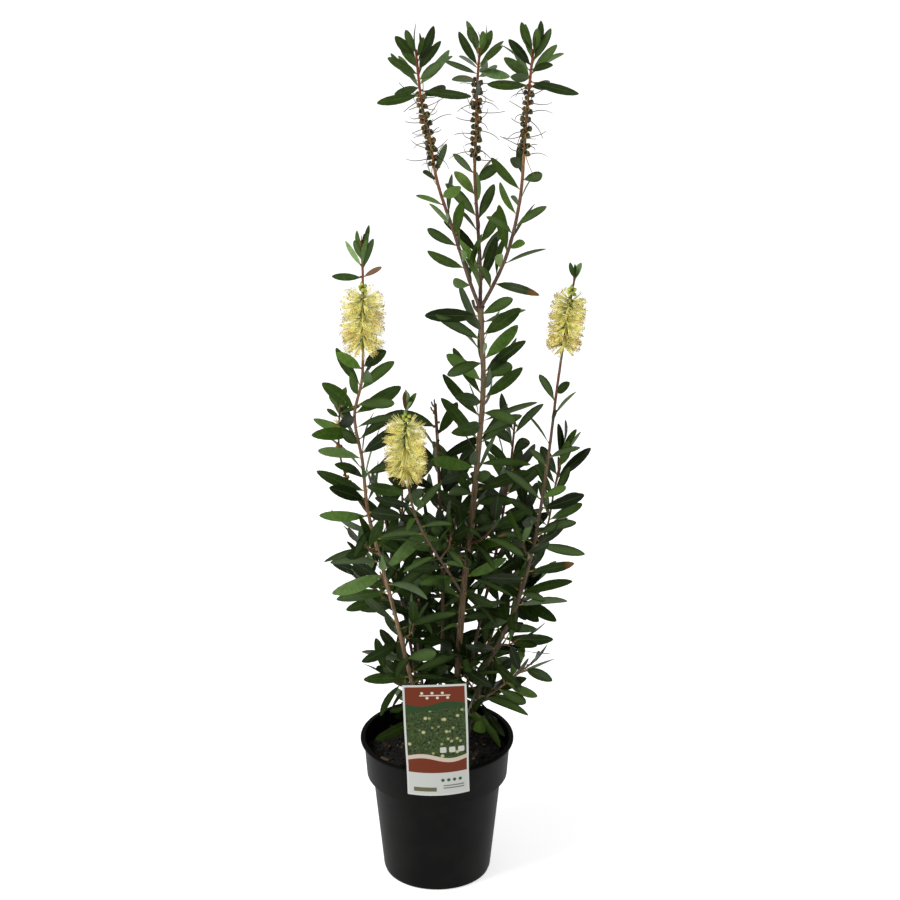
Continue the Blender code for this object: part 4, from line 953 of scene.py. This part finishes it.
for value, start, end, most, over in (
        (side, -0.1, -0.5, 0.3, "#617c42"), (across, 0.1, 0.0, 0.35, "#54703a"),
        (along, 0.11, 0.05, 1.0, "#8a7a34"), (dead.outputs[0], 0.0, 1.0, 1.0, "#6b4a26")):
    amount = add_node(tree, "ShaderNodeMapRange", {"Value": value, "From Min": start, "From Max": end,
                                                   "To Max": most})
    green = add_node(tree, "ShaderNodeMix", {0: amount.outputs[0], 6: green, 7: linear(over)},
                     data_type="RGBA").outputs[2]
tree.links.new(green, shader.inputs["Base Color"])
bump = add_node(tree, "ShaderNodeBump", {"Height": mottle, "Strength": 0.25, "Distance": 0.6 * MM})
tree.links.new(bump.outputs[0], shader.inputs["Normal"])
foliage = [name + "_foliage" for name in LIMBS] + ["trunk_foliage", "trunk_foliage_low"]
add_piece("leaves", leaves.mesh(), material, foliage, sharp=75)


# The buds: small dark scaly knobs in the leaf axils, where next year's twigs will start, and round
# green flower buds that have yet to open above each brush.
bm = bmesh.new()
bmesh.ops.create_icosphere(bm, subdivisions=1, radius=1)
buds = Copies(bm)
BUD_SHARE = 0.35
BUD_SIZES = (0.7 * MM, 1.2 * MM)
BUD_SHAPE = np.array([1, 1, 1.7])
BUD_COLOUR = linear("#4a3221")
FLOWER_BUDS = 8
FLOWER_BUD_SIZES = (2.1 * MM, 2.8 * MM)
FLOWER_BUD_COLOURS = ("#a6b440", "#b9c456", "#8ba038")


def standing(spot, aim):
    """The matrix that stands a shape at a spot with its Z axis along an aim."""
    return Matrix.Translation(spot) @ aim.to_track_quat("Z", "Y").to_matrix().to_4x4()


rng = random.Random(5)
for root, along in leaf_roots:
    if rng.random() < BUD_SHARE:
        size = rng.uniform(*BUD_SIZES)
        place = standing(root + along * size + Vector((0, 0, 1.3 * MM)), along)
        buds.add(placed(buds.shape * (size * BUD_SHAPE), place), bud_colour=BUD_COLOUR)
bm = bmesh.new()
bmesh.ops.create_icosphere(bm, subdivisions=2, radius=1)
flower_buds = Copies(bm)
for name, path, run in grown(Brush):
    foot = path.at_height(run.high) + MM
    for i in range(FLOWER_BUDS):
        point, direction = path.at(foot + 12 * MM * i / FLOWER_BUDS)
        size = rng.uniform(*FLOWER_BUD_SIZES)
        centre = point + outward(direction, i * GOLDEN_ANGLE) * (size + 1.2 * MM)
        flower_buds.add(flower_buds.shape * size + np.array(centre),
                        bud_colour=linear(rng.choice(FLOWER_BUD_COLOURS)))
# Bud scales: dull, each bud with its own colour.
material = dealt_colours("bud scales", "#4a3221", 0.6, "bud_colour")[0]
add_piece("leaf_buds", buds.mesh(), material, [], sharp=80)
add_piece("flower_buds", flower_buds.mesh(), material, [], sharp=80)


# The seed cups: woody capsules about 6 mm across, in a spiral round the stems where last year's
# flowers were. A dry thread of the old flower still stands out of most of them.
CUP_PROFILE = [(0, 0), (1.7, 0), (2.7, 1.9), (2.9, 3.7), (2.2, 4.7), (1.5, 3.6), (0, 3.1)]
CUP_COLOURS = ("#2b2b12", "#353616", "#4a4620", "#23200d", "#6b4a20")
RIM_COLOUR = linear("#7d7436")
CUP_SIZES, YOUNG_CUP_SIZES = (1.02, 1.32), (0.5, 0.75)
# A short run at the tip of a stem has smaller cups, which have lost their threads.
SHORT_RUN = 10
SHORT_RUN_SIZE = 0.6
THREAD_SHARE = 0.85
THREAD_LENGTHS = (16 * MM, 29 * MM)
THREAD_RADIUS = 0.7 * MM
THREAD_COLOURS = ("#1c120b", "#241811", "#3b2a1b", "#6a4c30", "#120c09")
THREAD_PIECES = 6
cups = Copies(spun(CUP_PROFILE, 7))
cup_rim = (np.hypot(*cups.shape.T[:2]) > 1.6 * MM) & (cups.shape[:, 2] > 4 * MM)


def thread_shape(pieces):
    """A three-sided open tube of unit length and radius along +Z."""
    bm = bmesh.new()
    ring = bmesh.ops.create_circle(bm, segments=3, radius=1)["verts"]
    edges = list({edge for vertex in ring for edge in vertex.link_edges})
    for _ in range(pieces):
        added = bmesh.ops.extrude_edge_only(bm, edges=edges)["geom"]
        fresh = {item for item in added if isinstance(item, bmesh.types.BMVert)}
        edges = [item for item in added
                 if isinstance(item, bmesh.types.BMEdge) and fresh.issuperset(item.verts)]
        for vertex in fresh:
            vertex.co.z += 1 / pieces
    return bm


def thread_points(copies, root, aim, length, radius, bend, stiffness=2.2):
    """A thread from its root along an aim, which bends more and more towards its end."""
    along = copies.shape[:, 2]
    a = np.array(aim.orthogonal().normalized())
    b = np.array(aim.cross(aim.orthogonal()).normalized())
    centre = np.array(root) + np.outer(along * length, np.array(aim))
    centre = centre + np.outer(along ** stiffness, np.array(bend))
    round_it = np.outer(copies.shape[:, 0], a) + np.outer(copies.shape[:, 1], b)
    return centre + round_it * (radius * (1 - 0.35 * along))[:, None]


threads = Copies(thread_shape(THREAD_PIECES))
rng = random.Random(21)
for name, path, run in grown(Cups):
    ends = path.at_height(run.low), path.at_height(run.high)
    long_run = run.count > SHORT_RUN
    for i in range(run.count):
        here = mix(ends, (i + rng.uniform(0.1, 0.9)) / run.count)
        point, direction = path.at(here)
        out = outward(direction, i * GOLDEN_ANGLE + rng.uniform(-0.2, 0.2))
        aim = (out + direction * rng.uniform(0.1, 0.5)).normalized()
        size = rng.uniform(*CUP_SIZES) * (1 if long_run else SHORT_RUN_SIZE)
        place = standing(point + out * (limb_radius(name)(here) - 0.3 * MM), aim)
        body = np.array(linear(rng.choice(CUP_COLOURS)))
        cups.add(placed(cups.shape * size, place),
                 cup_colour=np.where(cup_rim[:, None], RIM_COLOUR, body))
        if long_run and rng.random() < THREAD_SHARE:
            bend = rng.gauss(0, 3), rng.gauss(0, 3), rng.choice((-1, 1)) * rng.uniform(2, 10)
            aim = (out + direction * rng.gauss(0.1, 0.25)).normalized()
            points = thread_points(threads, point + out * 4 * MM, aim, rng.uniform(*THREAD_LENGTHS),
                                   THREAD_RADIUS, Vector(bend) * MM, 3.5)
            threads.add(points, thread_colour=linear(rng.choice(THREAD_COLOURS)))
# Old flowers on the left stem's side twig: two clusters of small young cups and a tuft of threads.
OLD_CUPS = ((0.3, 0.39, 9), (0.56, 0.64, 8))
OLD_TUFT = (0.72, 0.81, 80)
YOUNG_CUP_COLOURS = ("#8a6a2c", "#5d5a24", "#a5702f", "#6f4a22")
OLD_THREAD_COLOURS = ("#c9a24f", "#d8bd7a", "#b0803a")
path = twig_paths[FLOWERED_TWIG]
for low, high, count in OLD_CUPS:
    for i in range(count):
        point, direction = path.at(path.length * mix((low, high), i / count))
        out = outward(direction, i * GOLDEN_ANGLE)
        points = placed(cups.shape * rng.uniform(*YOUNG_CUP_SIZES), standing(point + out * MM, out))
        cups.add(points, cup_colour=linear(rng.choice(YOUNG_CUP_COLOURS)))
low, high, count = OLD_TUFT
for i in range(count):
    point, direction = path.at(path.length * mix((low, high), i / count))
    out = outward(direction, i * GOLDEN_ANGLE)
    bend = Vector((rng.gauss(0, 2), rng.gauss(0, 2), rng.uniform(-3, 5))) * MM
    aim = (out + direction * 0.4).normalized()
    points = thread_points(threads, point, aim, rng.uniform(5, 12) * MM, 0.3 * MM, bend)
    threads.add(points, thread_colour=linear(rng.choice(OLD_THREAD_COLOURS)))

# Woody capsule: dull olive-black with a lighter rim and fine wrinkles.
material, tree, shader, dealt = dealt_colours("woody capsule", "#38321c", 0.75, "cup_colour")
add_mottle(tree, shader, dealt, (1300, 3, 0.3, 0.7), (0.6, 1.3), (0.5, 0.4 * MM))
add_piece("seed_cups", cups.mesh(), material, [], sharp=50)
# Dry thread: tan to black, each with its own colour.
material = dealt_colours("dry flower thread", "#6b5136", 0.7, "thread_colour")[0]
add_piece("dry_threads", threads.mesh(), material, [], sharp=80)


# The flower brushes: each a drum of small flowers in a spiral round the stem. Each flower is a green
# cup with four bundles of pale lemon threads, and a grain of pollen ends each thread.
FLORETS = 84
BUNDLES = 4
BUNDLE_THREADS = 7
END_MARGIN = 5 * MM
# A brush is rounded off over this length at both ends, by this share at the very end.
ROUND_OFF, ROUNDING = 12 * MM, 0.45
# The threads point down at a brush's foot and a little up at its top.
RISES = (-0.38, 0.16)
FLORET_SIZE = np.array([1.8, 1.8, 2.8]) * MM
FLORET_COLOURS = ("#56702a", "#3f561f", "#6d8636")
# How far a flower is from the stem's centre and how far its threads sway, both in millimetres.
FLORET_OUT, SWAY = 2.4, 2.4
FILAMENT_RADIUS = 0.25 * MM
RIPE_SHARE, BROWN_SHARE = 0.25, 0.55
GRAIN_SIZES = (0.48, 0.68)
filaments = Copies(thread_shape(3))
bm = bmesh.new()
bmesh.ops.create_uvsphere(bm, u_segments=4, v_segments=2, radius=1)
anthers = Copies(bm)
bm = bmesh.new()
bmesh.ops.create_icosphere(bm, subdivisions=1, radius=1)
floret_cups = Copies(bm)
rng = random.Random(8)
lemon, lime, ripe, gold, brown = (np.array(linear(code)) for code in
                                  ("#fff9a8", "#a8ad4a", "#dcb868", "#d9bd62", "#33230c"))
past_foot = np.minimum(1, filaments.shape[:, 2:3] * 1.6)
for name, path, run in grown(Brush):
    ends = path.at_height(run.low) + END_MARGIN, path.at_height(run.high) - END_MARGIN
    for i in range(FLORETS):
        share = i / (FLORETS - 1)
        point, direction = path.at(mix(ends, share))
        azimuth = i * GOLDEN_ANGLE
        from_end = min(share, 1 - share) * (ends[1] - ends[0])
        fullness = math.sqrt(1 - max(0, 1 - from_end / ROUND_OFF) ** 2 * ROUNDING)
        rise = mix(RISES, share)
        out = outward(direction, azimuth)
        place = standing(point + out * FLORET_OUT * MM, (out + direction * 0.3).normalized())
        floret_cups.add(placed(floret_cups.shape * FLORET_SIZE, place),
                        cup_colour=linear(rng.choice(FLORET_COLOURS)))
        for _ in range(BUNDLES):
            turn, lift = azimuth + rng.gauss(0, 0.42), rise + rng.gauss(0, 0.17)
            onward, sideways = rng.gauss(1.5 * rise, SWAY), rng.gauss(0, SWAY)
            curl = direction * onward * MM + out.cross(direction) * sideways * MM
            pale = rng.uniform(0.55, 1.22)
            end = ripe if rng.random() < RIPE_SHARE * (1 - share) else lemon
            for _ in range(BUNDLE_THREADS):
                out = outward(direction, turn + rng.gauss(0, 0.07))
                aim = (out + direction * (lift + rng.gauss(0, 0.07))).normalized()
                reach = run.width / 2 * MM * fullness * rng.uniform(0.88, 1.07) - 2 * MM
                root = point + out * FLORET_OUT * MM
                filaments.add(thread_points(filaments, root, aim, reach, FILAMENT_RADIUS, curl),
                              filament_colour=mix((lime, end), past_foot) * pale)
                grain = mix((gold, brown), rng.uniform(0.4, 1) if rng.random() < BROWN_SHARE else 0)
                tip = np.array(root + aim * reach + curl)
                anthers.add(anthers.shape * rng.uniform(*GRAIN_SIZES) * MM + tip, grain_colour=grain)
# Fresh filament: pale lemon from a yellow-green foot, satin, with a slight painted glow: an emission
# in its own colour that stands in for the light that passes through it.
material, tree, shader, dealt = dealt_colours("flower filament", "#f6f2b0", 0.5, "filament_colour")
tree.links.new(dealt, shader.inputs["Emission Color"])
shader.inputs["Emission Strength"].default_value = 0.1
add_piece("flower_filaments", filaments.mesh(), material, [], sharp=80)
# Pollen: dark gold to brown, and powdery.
material = dealt_colours("pollen", "#b99540", 0.8, "grain_colour")[0]
add_piece("flower_pollen", anthers.mesh(), material, [], sharp=80)
# Flower cup: fresh green and dull.
material = dealt_colours("green flower cup", "#56702a", 0.6, "cup_colour")[0]
add_piece("flower_cups", floret_cups.mesh(), material, [], sharp=80)


# The studio: a pale floor that runs on out of sight, soft light from above the camera, and the
# camera where it was for the photograph: some way off and looking down on the pot.
FLOOR_GLOW, WORLD_GLOW = 0.6, 0.45
# Each lamp has its name, place, width in metres and power in watts.
LAMPS = (("key", (-1.9, -1.3, 2.9), 1.2, 62), ("fill", (1.9, -1.6, 1.9), 1.6, 9))
LIT_SPOT = Vector((0, 0, 0.6))
LENS, SENSOR_WIDTH = 174.8, 36
CAMERA_SPOT = (0.0167, -4.926, 2.949)
CAMERA_TILT = math.radians(64.5)
bm = bmesh.new()
bmesh.ops.create_grid(bm, x_segments=1, y_segments=1, size=9)
floor = bpy.data.objects.new("floor", mesh_of(bm))
material, tree, shader = new_material("pale studio floor", "#f4f4f4", 0.9)
shader.inputs["Emission Color"].default_value = linear("#ffffff")
shader.inputs["Emission Strength"].default_value = FLOOR_GLOW
floor.data.materials.append(material)
bpy.context.scene.collection.objects.link(floor)

world = bpy.data.worlds.new("studio")
world.use_nodes = True
world.node_tree.nodes["Background"].inputs["Color"].default_value = linear("#ffffff")
world.node_tree.nodes["Background"].inputs["Strength"].default_value = WORLD_GLOW
bpy.context.scene.world = world
for name, spot, size, power in LAMPS:
    lamp = bpy.data.lights.new(name, "AREA")
    lamp.size = size
    lamp.energy = power
    light = bpy.data.objects.new(name, lamp)
    light.location = spot
    light.rotation_euler = (LIT_SPOT - light.location).to_track_quat("-Z", "Y").to_euler()
    bpy.context.scene.collection.objects.link(light)

camera = bpy.data.objects.new("camera", bpy.data.cameras.new("camera"))
camera.data.lens = LENS
camera.data.sensor_width = SENSOR_WIDTH
camera.location = CAMERA_SPOT
camera.rotation_euler = (CAMERA_TILT, 0, 0)
bpy.context.scene.collection.objects.link(camera)
bpy.context.scene.camera = camera
bpy.context.scene.view_settings.view_transform = "Standard"
